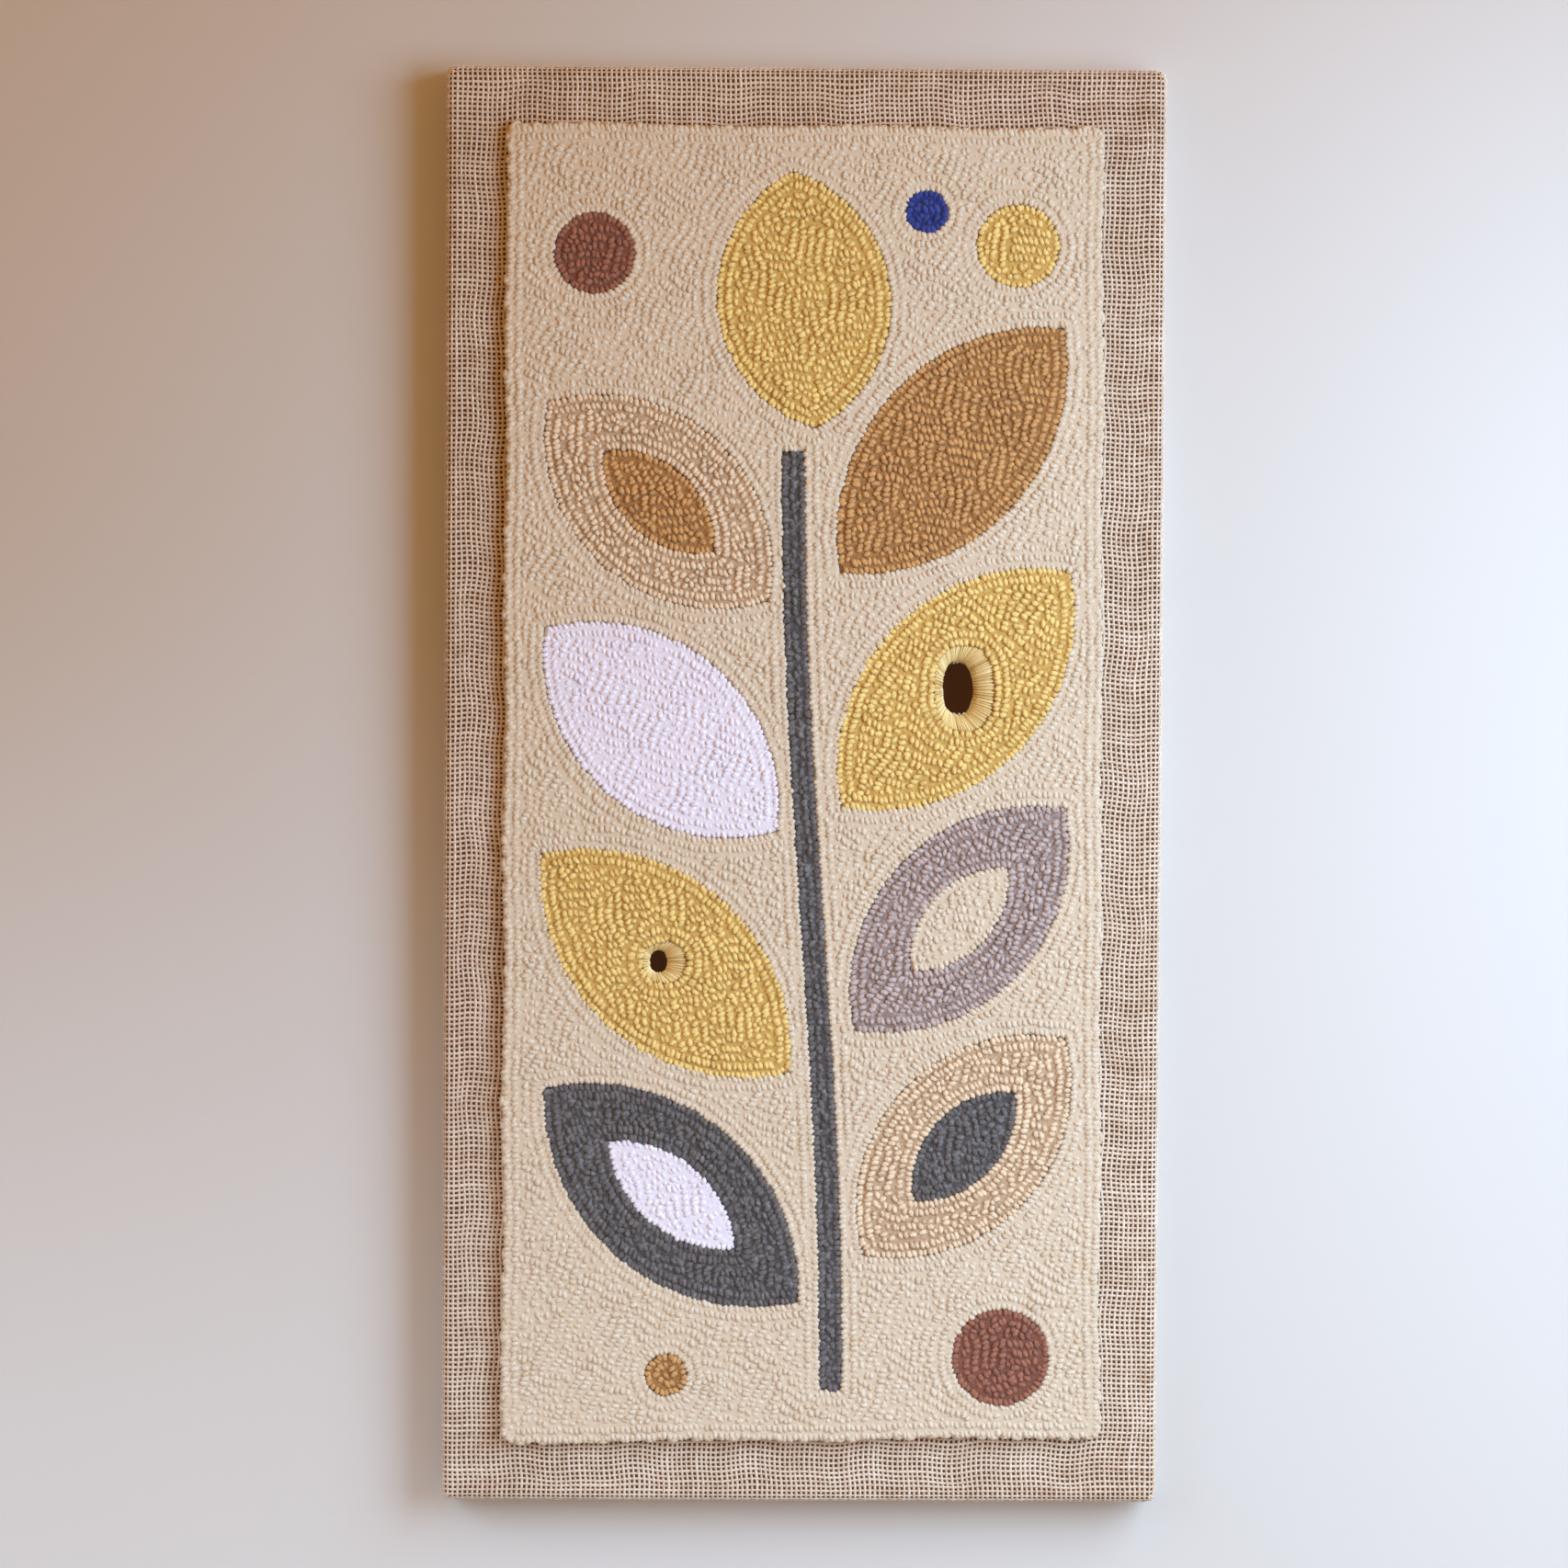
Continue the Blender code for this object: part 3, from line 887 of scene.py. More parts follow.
rim_points, rim_ways = borders["pile_ground"][0]
rim_line = np.concatenate([rim_points, rim_points[:1]])
rim_inwards = np.concatenate([rim_ways, rim_ways[:1]])
arches, arch_tints = [], []
for (x, z), (in_x, in_z) in zip(*evenly(rim_line, rim_inwards, RIM_PITCH)):
    along = (in_z, -in_x)
    rise = RIM_RISE * chooser.uniform(0.85, 1.1)
    lean = RIM_LEAN * chooser.uniform(0.2, 1.8)
    span = RIM_SPAN * chooser.uniform(0.9, 1.15)
    twist = chooser.uniform(-0.35, 0.35)
    arch = []
    for step in range(RIM_STEPS):
        angle = math.pi * step / (RIM_STEPS - 1)
        run = -span * math.cos(angle)
        out = RIM_RADIUS - lean * math.sin(angle) + twist * run * 0.5
        y = PILE_BACK - RIM_FOOT - rise * math.sin(angle)
        arch.append((x + along[0] * run + in_x * out, y, z + along[1] * run + in_z * out))
    arches.append(np.array(arch))
    arch_tints += [chooser.normal(0.2, 0.4)] * RIM_STEPS
rim = line_plan("rim_loops", arches, thick=np.ones(len(arch_tints)), tint=arch_tints)
work(rim, THREAD_TREE, Radius=RIM_RADIUS, Sides=6, Material=YARNS["yarn_cream"])
hand_over(rim, "yarn_cream", "pile_ground")

# %% [markdown]
# ## Linen
#
# The bare border is an open plain weave of slubby, unbleached thread: over one, under one, with
# square holes between. The holes show dark because the wood behind them is in shade. Woven
# threads show that far better than a bump could, and they wrap over the edges of the frame. A
# flat skin closes the cloth behind them, painted with the shade that shows through the holes.

# %% Make the linen thread and the skin behind it
WEAVE = 0.00206
LINEN_LIGHT = colour_of(236, 222, 206)
LINEN_DARK = colour_of(190, 160, 130)
PAINTED_HOLE_SHADE = colour_of(90, 56, 32)


def linen_thread():
    material, tree, shader, place = new_finish("linen thread", 0.9, 0.1)
    fibre = noise(tree, place, 1500.0)
    slub = noise(tree, place, 160.0)
    washed = noise(tree, place, 38.0)
    parts = ((value_of(tree, "tint"), 0.18), (washed, 0.6), (fibre, 0.9), (slub, 0.6))
    colour = mixed(tree, weighted(tree, -0.5, *parts), LINEN_DARK, LINEN_LIGHT)
    coat(tree, shader, colour, fibre, 0.4, 0.0002)
    return material


def linen_skin():
    """Plain weave drawn from the skin's weave coordinates, with painted shade in its holes; where
    real threads cover it, it is all painted shade.
    """
    material, tree, shader, place = new_finish("linen skin", 0.95, 0.1)
    weave = value_of(tree, "weave", "Vector")
    u, v = add(tree, "ShaderNodeSeparateXYZ", {0: weave}).outputs[:2]
    wave_u = maths(tree, "SINE", maths(tree, "MULTIPLY", u, math.pi))
    wave_v = maths(tree, "SINE", maths(tree, "MULTIPLY", v, math.pi))
    over = maths(tree, "MULTIPLY", wave_u, wave_v)
    upright = weighted(tree, maths(tree, "ABSOLUTE", wave_u), (over, 0.30))
    across = weighted(tree, maths(tree, "ABSOLUTE", wave_v), (over, -0.30))
    height = maths(tree, "MAXIMUM", upright, across)
    light = weighted(tree, 0.0, (noise(tree, place, 1200.0), 0.7), (noise(tree, place, 120.0), 0.5))
    colour = mixed(tree, light, LINEN_DARK, LINEN_LIGHT)
    # Painted shade in the holes of the drawn weave, then all painted shade on faces under the real
    # threads.
    colour = mixed(tree, weighted(tree, -2.48, (height, 4.0)), PAINTED_HOLE_SHADE, colour)
    colour = mixed(tree, value_of(tree, "painted_gap_shade"), colour, PAINTED_HOLE_SHADE)
    coat(tree, shader, colour, height, 0.8, 0.0005)
    return material


LINEN_THREAD = linen_thread()
LINEN_SKIN = linen_skin()
print("linen has a thread every", 1000 * WEAVE, "mm")

# %% [markdown]
# ## The cloth's skin
#
# The skin is the measured cloth, half a millimetre smaller all round so that the threads can lie
# on it without making the piece bigger. Weave coordinates are written at its corners, from
# whichever two axes each face spans, and the inside and the turned margin show them. The front
# and the sides, under the real threads, are marked to be painted all in shade.

# %% Shrink the skin and give it weave coordinates
SKIN_SINK = 0.0005
skin = copied("linen_skin", "ground_cloth", LINEN_SKIN)
half_sizes = (HALF_WIDTH, DEPTH / 2, HALF_HEIGHT)
shrink = [1 - SKIN_SINK / half for half in half_sizes]
for vertex in skin.data.vertices:
    vertex.co.x *= shrink[0]
    vertex.co.y *= shrink[1]
    vertex.co.z = CENTRE_Z + (vertex.co.z - CENTRE_Z) * shrink[2]
weave_values = skin.data.attributes.new("weave", "FLOAT_VECTOR", "CORNER")
painted_gap_shade_values = skin.data.attributes.new("painted_gap_shade", "FLOAT", "FACE")
for face in skin.data.polygons:
    flattest = max(range(3), key=lambda axis: abs(face.normal[axis]))
    spans = [axis for axis in range(3) if axis != flattest]
    away = face.normal.dot(face.center - Vector((0, 0, CENTRE_Z)))
    front_or_side = face.normal.y < 0.5 and away > 0
    # Faces under the real threads get painted shade, the shade seen between the threads.
    painted_gap_shade_values.data[face.index].value = 1.0 if front_or_side else 0.0
    for corner in face.loop_indices:
        place = skin.data.vertices[skin.data.loops[corner].vertex_index].co
        weave_values.data[corner].vector = (place[spans[0]] / WEAVE, place[spans[1]] / WEAVE, 0)
hand_over(skin, "linen", "ground_cloth")

# %% [markdown]
# ## The woven threads
#
# Every thread is one line with a point at each crossing, lifted or sunk in turn. Upright threads
# run over the top and bottom edges and level threads over the sides, and a third set runs round
# the edge of the frame to bind them there. Stretching has pulled the lines out of true, so a
# slow sideways sway is added, and every thread has its own thickness and shade. Under the pile
# there is nothing to see and so no thread.

# %% Plan the threads over the stretched cloth
EDGE_RADIUS = 0.0035
THREAD_RADIUS = 0.00058
THREAD_SINK = 0.00038
CROSSING_LIFT = 0.00022
SWAY = 0.0006
BUNCHING = 0.00013
SWAY_EASE = 0.006
UNDER_PILE = 0.004
flat_x, flat_z = HALF_WIDTH - EDGE_RADIUS, HALF_HEIGHT - EDGE_RADIUS
COUNT_X, COUNT_Z = round(2 * flat_x / WEAVE), round(2 * flat_z / WEAVE)
grid_x = (np.arange(COUNT_X) + 0.5) * 2 * flat_x / COUNT_X - flat_x
grid_z = (np.arange(COUNT_Z) + 0.5) * 2 * flat_z / COUNT_Z - flat_z
arc = EDGE_RADIUS * math.pi / 2
straight = DEPTH - 2 * EDGE_RADIUS
BAND_COUNT = round((2 * arc + straight) / WEAVE)
band_steps = (np.arange(BAND_COUNT) + 0.5) * (2 * arc + straight) / BAND_COUNT


def over_edge(run):
    """How far out and back the cloth is, and its normal, at a length past the flat front."""
    if run < arc:
        angle = run / EDGE_RADIUS
        out, back = EDGE_RADIUS * math.sin(angle), EDGE_RADIUS * (1 - math.cos(angle))
        return out, back, math.sin(angle), -math.cos(angle)
    if run < arc + straight:
        return EDGE_RADIUS, EDGE_RADIUS + run - arc, 1.0, 0.0
    angle = (run - arc - straight) / EDGE_RADIUS
    back = DEPTH - EDGE_RADIUS + EDGE_RADIUS * math.sin(angle)
    return EDGE_RADIUS * math.cos(angle), back, math.cos(angle), math.sin(angle)


def on_band(base, way, run, sign):
    """A place on the edge of the frame: base on the flat's rim, way outwards, lifted or sunk."""
    out, back, normal_out, normal_back = over_edge(run)
    lift = sign * CROSSING_LIFT - THREAD_SINK
    reach = out + lift * normal_out
    y = CLOTH_FRONT + back + lift * normal_back
    return (base[0] + way[0] * reach, y, CENTRE_Z + base[1] + way[1] * reach)


def on_front(x, z, sign):
    drift_x = SWAY * (math.sin(z * 95 + 9 * x) + 0.6 * math.sin(z * 210 + 1.3))
    drift_x += BUNCHING * math.sin(x * 520 + z * 30)
    drift_z = SWAY * (math.sin(x * 120 + 9 * z) + 0.6 * math.sin(x * 260 + 0.4))
    drift_z += BUNCHING * math.sin(z * 470 + x * 40)
    ease = min(1.0, (flat_x - abs(x)) / SWAY_EASE, (flat_z - abs(z)) / SWAY_EASE)
    y = CLOTH_FRONT + THREAD_SINK - sign * CROSSING_LIFT
    return (x + drift_x * ease, y, CENTRE_Z + z + drift_z * ease)


def parity(number):
    return 1 if number % 2 else -1


def over_side(base, way, number, sign):
    """The part of a thread that goes over a side of the frame, lifted or sunk at each crossing."""
    steps = enumerate(band_steps)
    return [on_band(base, way, run, sign * parity(number + step)) for step, run in steps]


field = outlines["pile_ground"][0]
field_low, field_high = field.min(axis=0), field.max(axis=0)
hidden_x = (field_low[0] + UNDER_PILE, field_high[0] - UNDER_PILE)
hidden_z = (field_low[1] - CENTRE_Z + UNDER_PILE, field_high[1] - CENTRE_Z - UNDER_PILE)
upright, level, around = [], [], []
for i, x in enumerate(grid_x):
    top = over_side((x, flat_z), (0, 1), i + COUNT_Z, 1)
    foot = over_side((x, -flat_z), (0, -1), i - 1, 1)[::-1]
    middle = [(z, on_front(x, z, parity(i + j))) for j, z in enumerate(grid_z)]
    if hidden_x[0] < x < hidden_x[1]:
        upright.append(np.array(foot + [place for z, place in middle if z < hidden_z[0]]))
        upright.append(np.array([place for z, place in middle if z > hidden_z[1]] + top))
    else:
        upright.append(np.array(foot + [place for z, place in middle] + top))
for j, z in enumerate(grid_z):
    right = over_side((flat_x, z), (1, 0), j + COUNT_X, -1)
    left = over_side((-flat_x, z), (-1, 0), j - 1, -1)[::-1]
    middle = [(x, on_front(x, z, -parity(i + j))) for i, x in enumerate(grid_x)]
    if hidden_z[0] < z < hidden_z[1]:
        level.append(np.array(left + [place for x, place in middle if x < hidden_x[0]]))
        level.append(np.array([place for x, place in middle if x > hidden_x[1]] + right))
    else:
        level.append(np.array(left + [place for x, place in middle] + right))
print(len(upright), "upright and", len(level), "level lengths of thread")

# %% [markdown]
# The third set follows the frame's outline. Each round closes on itself and passes over the four
# rounded corners, where two short threads a corner cross it.

# %% Plan the threads round the edge
CORNER_TURNS = (30, 60)
SLUB_RUN = 9


def rim_stations():
    """Places round the flat front's rim, each with its way outwards and its crossing's number."""
    stations = [((x, -flat_z), (0, -1), i - 1) for i, x in enumerate(grid_x)]
    stations += [((flat_x, -flat_z), corner_way(270 + turn), turn // 30) for turn in CORNER_TURNS]
    stations += [((flat_x, z), (1, 0), j + COUNT_X + 1) for j, z in enumerate(grid_z)]
    stations += [((flat_x, flat_z), corner_way(turn), turn // 30) for turn in CORNER_TURNS]
    stations += [((x, flat_z), (0, 1), i + COUNT_Z) for i, x in reversed(list(enumerate(grid_x)))]
    stations += [((-flat_x, flat_z), corner_way(90 + turn), turn // 30) for turn in CORNER_TURNS]
    stations += [((-flat_x, z), (-1, 0), j) for j, z in reversed(list(enumerate(grid_z)))]
    stations += [((-flat_x, -flat_z), corner_way(180 + turn), turn // 30) for turn in CORNER_TURNS]
    return stations


def corner_way(degrees):
    return (math.cos(math.radians(degrees)), math.sin(math.radians(degrees)))


stations = rim_stations()
for step, run in enumerate(band_steps):
    once = [on_band(base, way, run, -parity(number + step)) for base, way, number in stations]
    around.append(np.array(once + once[:1]))
for base, way, number in stations:
    if abs(way[0] * way[1]) > 0.01:
        level.append(np.array(over_side(base, way, number, 1)))


def thread_piece(name, lines, sides):
    thick, tints = [], []
    for line in lines:
        own_thickness = chooser.uniform(0.86, 1.06)
        bumps = chooser.normal(0, 1, len(line) + SLUB_RUN - 1)
        slubs = np.convolve(bumps, np.ones(SLUB_RUN) / math.sqrt(SLUB_RUN), mode="valid")
        thick.append(own_thickness + 0.06 * slubs)
        tints.append(chooser.normal(0, 0.25) + 0.4 * slubs)
    item = line_plan(name, lines, thick=np.concatenate(thick), tint=np.concatenate(tints))
    work(item, THREAD_TREE, Radius=THREAD_RADIUS, Sides=sides, Material=LINEN_THREAD)
    return hand_over(item, "linen", "ground_cloth")


threads = [
    thread_piece("linen_upright_threads", upright, 4),
    thread_piece("linen_level_threads", level, 4),
    thread_piece("linen_edge_threads", around, 3),
]
print("triangles so far:", sum(counts.values()))

# %% [markdown]
# ## The worked eyelets
#
# An eyelet is a hole whose edge is bound with close straight stitches. Each stitch starts
# behind the cloth, passes up through the hole and lies over the padded collar to its outer
# foot. The collar's measured rings give every stitch its line, so the binding fits exactly. The
# stitches fan out from the hole, so each swells towards its foot and sinks into the first loops.

# %% Cover the eyelets with stitches
STITCH_RADIUS = 0.00050
STITCH_PITCH = 0.00094
FOOT_SWELL = 1.4
RING_POINTS = 24
BACK_EDGE, HOLE_EDGE, FOOT_EDGE = 1, 2, 6
STITCH_DRIFT = 0.18
EDGE_SPREAD = 0.0004
FOOT_REACH = (0.0004, 0.0012)
START_TURN = 0.02
COLLAR_SINK = 0.0003


def satin():
    material, tree, shader, place = new_finish("pale thread", 0.55, 0.15)
    fibre = noise(tree, place, 1600.0)
    share = weighted(tree, 0.1, (value_of(tree, "tint"), 0.3), (fibre, 0.8))
    colour = mixed(tree, share, colour_of(204, 166, 92), colour_of(242, 224, 166))
    coat(tree, shader, colour, fibre, 0.4, 0.0002)
    return material


def collar_rings(node):
    """The eyelet's eight rings of 24 points, as a stitch meets them from its back to its foot."""
    levels = {}
    for vertex in nodes[node].data.vertices:
        key = (round(vertex.co.x / NEAR), round(vertex.co.z / NEAR))
        levels.setdefault(round(vertex.co.y / NEAR), {})[key] = vertex.co.copy()
    single, double = [], []
    for level in sorted(levels):
        places = np.array(list(levels[level].values()))
        middle = places.mean(axis=0)
        reach = np.hypot(places[:, 0] - middle[0], places[:, 2] - middle[2])
        if len(places) > RING_POINTS:
            order = np.argsort(reach)
            inner, outer = places[order[:RING_POINTS]], places[order[RING_POINTS:]]
            double.append((by_turn(inner), by_turn(outer)))
        else:
            single.append((reach.mean(), by_turn(places)))
    collar = [ring for reach, ring in sorted(single, key=lambda pair: pair[0])]
    return [double[-1][1], double[-1][0], *collar, double[0][1]]


def by_turn(ring):
    middle = ring.mean(axis=0)
    turns = np.arctan2(ring[:, 2] - middle[2], ring[:, 0] - middle[0]) + START_TURN
    return ring[np.argsort(turns % math.tau)]


SATIN = satin()
for node in ("eyelet_large", "eyelet_small"):
    rings = collar_rings(node)
    length = np.hypot(*np.diff(np.vstack([rings[4], rings[4][:1]])[:, [0, 2]], axis=0).T).sum()
    count = round(length / STITCH_PITCH)
    stitches, tints = [], []
    for number in range(count):
        at = (number + chooser.uniform(-STITCH_DRIFT, STITCH_DRIFT)) / count * RING_POINTS
        low, share = math.floor(at), at - math.floor(at)
        here, after = low % RING_POINTS, (low + 1) % RING_POINTS
        line = [ring[here] * (1 - share) + ring[after] * share for ring in rings]
        out = (line[FOOT_EDGE] - line[HOLE_EDGE]) * (1, 0, 1)
        out /= max(np.linalg.norm(out), NEAR)
        for edge in (BACK_EDGE, HOLE_EDGE):
            line[edge] = line[edge] - out * chooser.uniform(0.0, EDGE_SPREAD)
        line[FOOT_EDGE] = line[FOOT_EDGE] + out * chooser.uniform(*FOOT_REACH)
        stitches.append(np.array(line))
        tints += [chooser.normal(0, 0.8)] * len(line)
    swelling = np.interp(range(len(rings)), (len(rings) - 3, len(rings) - 1), (1.0, FOOT_SWELL))
    item = line_plan(node + "_stitches", stitches, thick=np.tile(swelling, count), tint=tints)
    work(item, THREAD_TREE, Radius=STITCH_RADIUS, Sides=6, Material=SATIN)
    hand_over(item, "thread_pale", node)
    core = copied(node + "_core", node, SATIN)
    bm = bmesh.new()
    bm.from_mesh(core.data)
    bm.normal_update()
    for vertex, normal in [(vertex, vertex.normal.copy()) for vertex in bm.verts]:
        vertex.co -= normal * COLLAR_SINK
    bm.to_mesh(core.data)
    bm.free()
    core.data.shade_smooth()
    hand_over(core, "thread_pale", node)
    print(node, "has", count, "stitches over", len(rings), "rings")

# %% [markdown]
# ## The back of the work
#
# Behind each row of loops lies a row of flat running stitches, so the picture shows there too,
# mirrored and plain. It is seen only inside the frame, so only those stitches are made.

# %% Lay the flat stitches on the back
STITCH_LENGTH = 0.0026
STITCH_WIDTH = 0.0021
STITCH_HEIGHT = 0.0006
SKIN_THICKNESS = 0.0012
UNDER_BAR = 0.002
bars = {side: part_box("stretcher_" + side) for side in ("left", "right", "bottom", "top")}
window_x = (bars["left"][1].x - UNDER_BAR, bars["right"][0].x + UNDER_BAR)
window_z = (bars["bottom"][1].z - UNDER_BAR, bars["top"][0].z + UNDER_BAR)
CLOTH_INSIDE = (CLOTH_FRONT + SKIN_THICKNESS) * shrink[1]
FLAT_SHAPE = grain("flat stitch shape", 4, ((1.0, 0.0),), 0)
by_slot = {}
for name in patches:
    x, z = loops[name][:, 0], loops[name][:, 1]
    seen = (x > window_x[0]) & (x < window_x[1]) & (z > window_z[0]) & (z < window_z[1])
    full = loops[name][:, 5] == 1.0
    by_slot.setdefault(slot_of[name], []).append(loops[name][seen & full])
for slot, groups in by_slot.items():
    x, z, along_x, along_z = np.concatenate(groups).T[:4]
    count = len(x)
    places = np.stack([x, np.full(count, CLOTH_INSIDE), z], axis=1)
    angle = np.arctan2(-along_z, along_x) + math.pi / 2 - SLANT + chooser.normal(0, 0.08, count)
    turn = np.stack([np.full(count, math.pi), angle, np.zeros(count)], axis=1)
    size = np.ones((count, 3))
    tint = chooser.normal(0, 0.5, count)
    item = plan("flat_stitches_" + slot[5:], places, turn=turn, size=size, tint=tint)
    half_size = (STITCH_LENGTH / math.sqrt(2), STITCH_HEIGHT, STITCH_WIDTH / math.sqrt(2))
    set_on_points(item, FLAT_SHAPE, half_size, 7, YARNS[slot])
    hand_over(item, slot)
for shape_item in (LOOP_SHAPE, FLAT_SHAPE):
    bpy.data.objects.remove(shape_item)
print("triangles so far:", sum(counts.values()))

# %% [markdown]
# ## Staples
#
# The turned margin is held to the back of the frame with wire staples. None can be seen from
# the front, so they are set out the usual way, about 50 mm apart.

# %% Set the staples
STAPLE_PITCH = 0.050
STAPLE_INSET = 0.013
STAPLE_WIDTH = 0.0100
STAPLE_WIRE = 0.0009
STAPLE_LEG = 0.0012
CLOTH_BACK = cloth_high.y - SKIN_SINK


def staple(x, z, way):
    """One staple as a line: a leg out of the wood, the crown, and the other leg."""
    half = STAPLE_WIDTH / 2
    foot, crown = CLOTH_BACK - STAPLE_LEG, CLOTH_BACK + STAPLE_WIRE / 2
    line = [(-half, foot), (-half, crown), (half, crown), (half, foot)]
    return np.array([(x + way[0] * run, y, z + way[1] * run) for run, y in line])


def steel():
    material, tree, shader, place = new_finish("staple wire", 0.45, 0.0)
    worn = noise(tree, place, 700.0)
    colour = mixed(tree, worn, colour_of(176, 174, 170), colour_of(232, 232, 230))
    tree.links.new(colour, shader.inputs["Base Color"])
    shader.inputs["Metallic"].default_value = 1.0
    return material


staples = []
span_x, span_z = 2 * (HALF_WIDTH - STAPLE_INSET), 2 * (HALF_HEIGHT - STAPLE_INSET)
for span, reach, upright_side in ((span_x, span_z / 2, False), (span_z, span_x / 2, True)):
    count = round(span / STAPLE_PITCH)
    for number in range(count):
        run = (number + 0.5) * span / count - span / 2
        for side in (-1, 1):
            skew = chooser.normal(0, 0.06)
            if upright_side:
                staples.append(staple(side * reach, CENTRE_Z + run, (skew, 1.0)))
            else:
                staples.append(staple(run, CENTRE_Z + side * reach, (1.0, skew)))
staple_piece = line_plan("staples", staples, thick=np.ones(4 * len(staples)))
work(staple_piece, THREAD_TREE, Radius=STAPLE_WIRE / 2, Sides=6, Material=steel())
hand_over(staple_piece, "pine")
print(len(staples), "staples")

# %% [markdown]
# ## Pine bars
#
# The bars' measured shapes are right as they are, so they only get wood. Pine has soft rings
# that run along the board as wandering lines. A wave stretched along the board and bent by noise
# draws them, with fine fibres between. Each pair of bars has its grain along its own length.

# %% Make the wood
def pine(name, stretch):
    material, tree, shader, place = new_finish(name, 0.55, 0.0)
    boards = add(tree, "ShaderNodeMapping", {"Vector": place, "Scale": stretch}).outputs[0]
    sockets = {"Scale": 14.0, "Distortion": 5.0, "Detail": 3.0, "Detail Scale": 1.2}
    rings = add(
        tree,
        "ShaderNodeTexWave",
        {"Vector": boards, **sockets},
        wave_type="RINGS",
        rings_direction="SPHERICAL",
    ).outputs["Fac"]
    fibre = noise(tree, boards, 260.0, 4.0)
    share = weighted(tree, 0.0, (rings, 0.55), (fibre, 0.55))
    colour = mixed(tree, share, colour_of(186, 138, 86), colour_of(226, 190, 140))
    coat(tree, shader, colour, fibre, 0.25, 0.0003)
    return material


ALONG = pine("pine along", (0.12, 1.0, 1.0))
UPRIGHT = pine("pine upright", (1.0, 1.0, 0.12))
for bar, wood in (("top", ALONG), ("bottom", ALONG), ("left", UPRIGHT), ("right", UPRIGHT)):
    mesh = nodes["stretcher_" + bar].data
    mesh.materials.clear()
    mesh.materials.append(wood)
print("four bars in", ALONG.name, "and", UPRIGHT.name)

# %% [markdown]

# %% [markdown]
# ## The room
#
# The piece hangs flat on a pale wall, so a wall stands just behind it to take its soft shadow.
# The wall is seen only from the front: from behind it lets the view through. No light gets
# behind the piece, so the wall seen through an eyelet is a dark patch of its own. The floor is
# plain and pale and lies well below.

# %% Build the wall and the floor
WALL_GAP = 0.0006
WALL_SIZE = 6.0
FLOOR_DROP = 0.45
SHADE_INSET = 0.03


def stage_plane(name, places, material):
    mesh = bpy.data.meshes.new(name)
    mesh.from_pydata(places, [], [(0, 1, 2, 3)])
    mesh.materials.append(material)
    linked(name, mesh)


def upright_plane(name, x, y, z, material):
    """A plane that faces the viewer, from the lower to the higher x and z."""
    corners = [(x[0], y, z[0]), (x[1], y, z[0]), (x[1], y, z[1]), (x[0], y, z[1])]
    stage_plane(name, corners, material)


def paint(name, colour, one_sided):
    material, tree, shader, place = new_finish(name, 0.8, 0.0)
    worn = tuple(0.97 * part for part in colour[:3]) + (1.0,)
    tone = mixed(tree, noise(tree, place, 3.0), worn, colour)
    tree.links.new(tone, shader.inputs["Base Color"])
    if one_sided:
        clear = add(tree, "ShaderNodeBsdfTransparent").outputs[0]
        back = add(tree, "ShaderNodeNewGeometry").outputs["Backfacing"]
        ray = add(tree, "ShaderNodeLightPath").outputs["Is Shadow Ray"]
        passes = maths(tree, "MAXIMUM", back, ray)
        mix = add(tree, "ShaderNodeMixShader", {0: passes, 1: shader.outputs[0], 2: clear})
        tree.links.new(mix.outputs[0], tree.nodes["Material Output"].inputs["Surface"])
    return material


wall_y = cloth_high.y + WALL_GAP
floor_z = cloth_low.z - FLOOR_DROP
half = WALL_SIZE / 2
wall_paint = paint("wall paint", colour_of(206, 203, 199), True)
upright_plane("wall", (-half, half), wall_y, (floor_z, WALL_SIZE), wall_paint)
shade_x = (cloth_low.x + SHADE_INSET, cloth_high.x - SHADE_INSET)
shade_z = (cloth_low.z + SHADE_INSET, cloth_high.z - SHADE_INSET)
shade_paint = paint("wall in shade", colour_of(96, 62, 40), True)
upright_plane("shade_behind", shade_x, wall_y - WALL_GAP / 2, shade_z, shade_paint)
corners = [(x * half, y * half, floor_z) for x, y in ((-1, -1), (1, -1), (1, 1), (-1, 1))]
stage_plane("floor", corners, paint("floor paint", colour_of(186, 182, 176), False))
print("wall at y", round(wall_y, 4), "and floor at z", round(floor_z, 3))

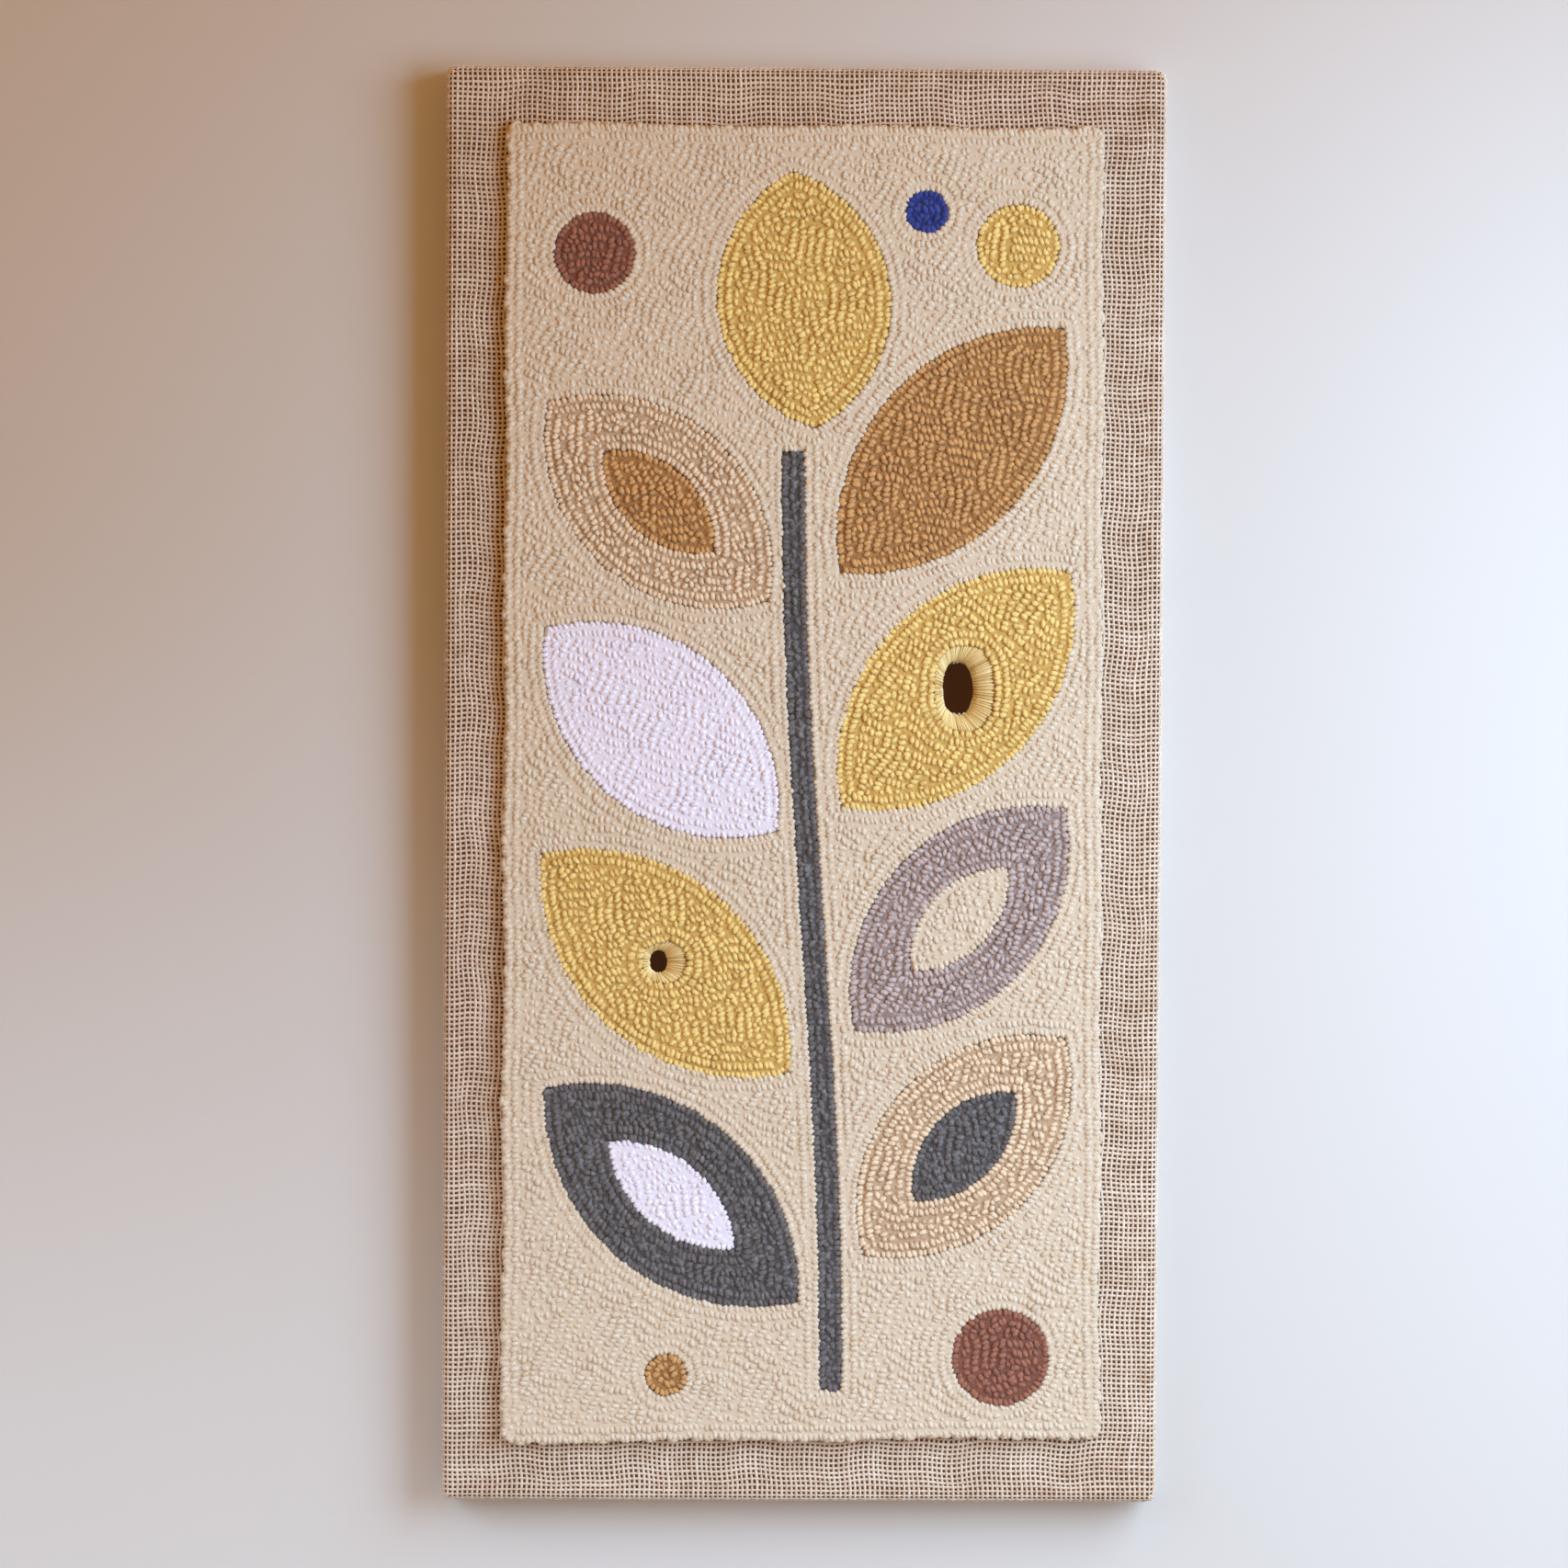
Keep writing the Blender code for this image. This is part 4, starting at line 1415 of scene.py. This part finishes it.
# %% [markdown]
# ## Light
#
# A tall window stands to the right, so the light is cool and soft, the wall is brighter there and
# a short shadow falls to the left. It throws more light down than up, and some comes back cool
# from the lower left, so the top left is the dimmest and warmest part. The rest of the room sends
# back warm light, which fills the shade and the crevices of the pile. What a view sees past the
# wall is a plain pale grey. A lamp behind is for views of the back.

# %% Set the lights
def soft_light(name, place, aim, size, spread, power, colour):
    """A soft lamp whose place and aim count from the middle of the piece."""
    data = bpy.data.lights.new(name, "AREA")
    data.shape = "ELLIPSE"
    data.size, data.size_y = size
    data.spread = math.radians(spread)
    data.energy = power
    data.color = colour
    lamp = linked(name, data)
    lamp.location = (place[0], place[1], CENTRE_Z + place[2])
    away = np.array(place) - np.array(aim)
    level_away = math.hypot(away[0], away[1])
    lamp.rotation_euler = (math.atan2(level_away, away[2]), 0, math.atan2(away[0], -away[1]))


COOL = (0.510, 0.745, 1.0)
BACK_LIGHT = (0.85, 0.93, 1.0)
WARM = (1.0, 0.49, 0.12, 1.0)
soft_light("window", (0.63, -0.62, 0.08), (0.178, 0, -0.418), (0.65, 1.0), 142, 9.1, COOL)
soft_light("room", (-0.706, -0.60, -0.089), (-0.262, 0, -0.90), (0.8, 0.8), 87, 2.5, COOL)
soft_light("behind", (0.9, 1.6, 0.7), (0, 0, 0), (1.2, 1.2), 180, 40.0, BACK_LIGHT)
world = bpy.data.worlds.new("room light")
world.use_nodes = True
tree = world.node_tree
background = tree.nodes["Background"]
background.inputs["Color"].default_value = WARM
background.inputs["Strength"].default_value = 0.66
seen = add(tree, "ShaderNodeBackground", {"Color": colour_of(206, 200, 194)})
looked_at = add(tree, "ShaderNodeLightPath").outputs["Is Camera Ray"]
sockets = {0: looked_at, 1: background.outputs[0], 2: seen.outputs[0]}
either = add(tree, "ShaderNodeMixShader", sockets)
tree.links.new(either.outputs[0], tree.nodes["World Output"].inputs["Surface"])
scene.world = world
scene.view_settings.view_transform = "Standard"
print("three lamps and a warm room")

# %% Print the triangle count and finish
print("triangles in all:", sum(counts.values()))
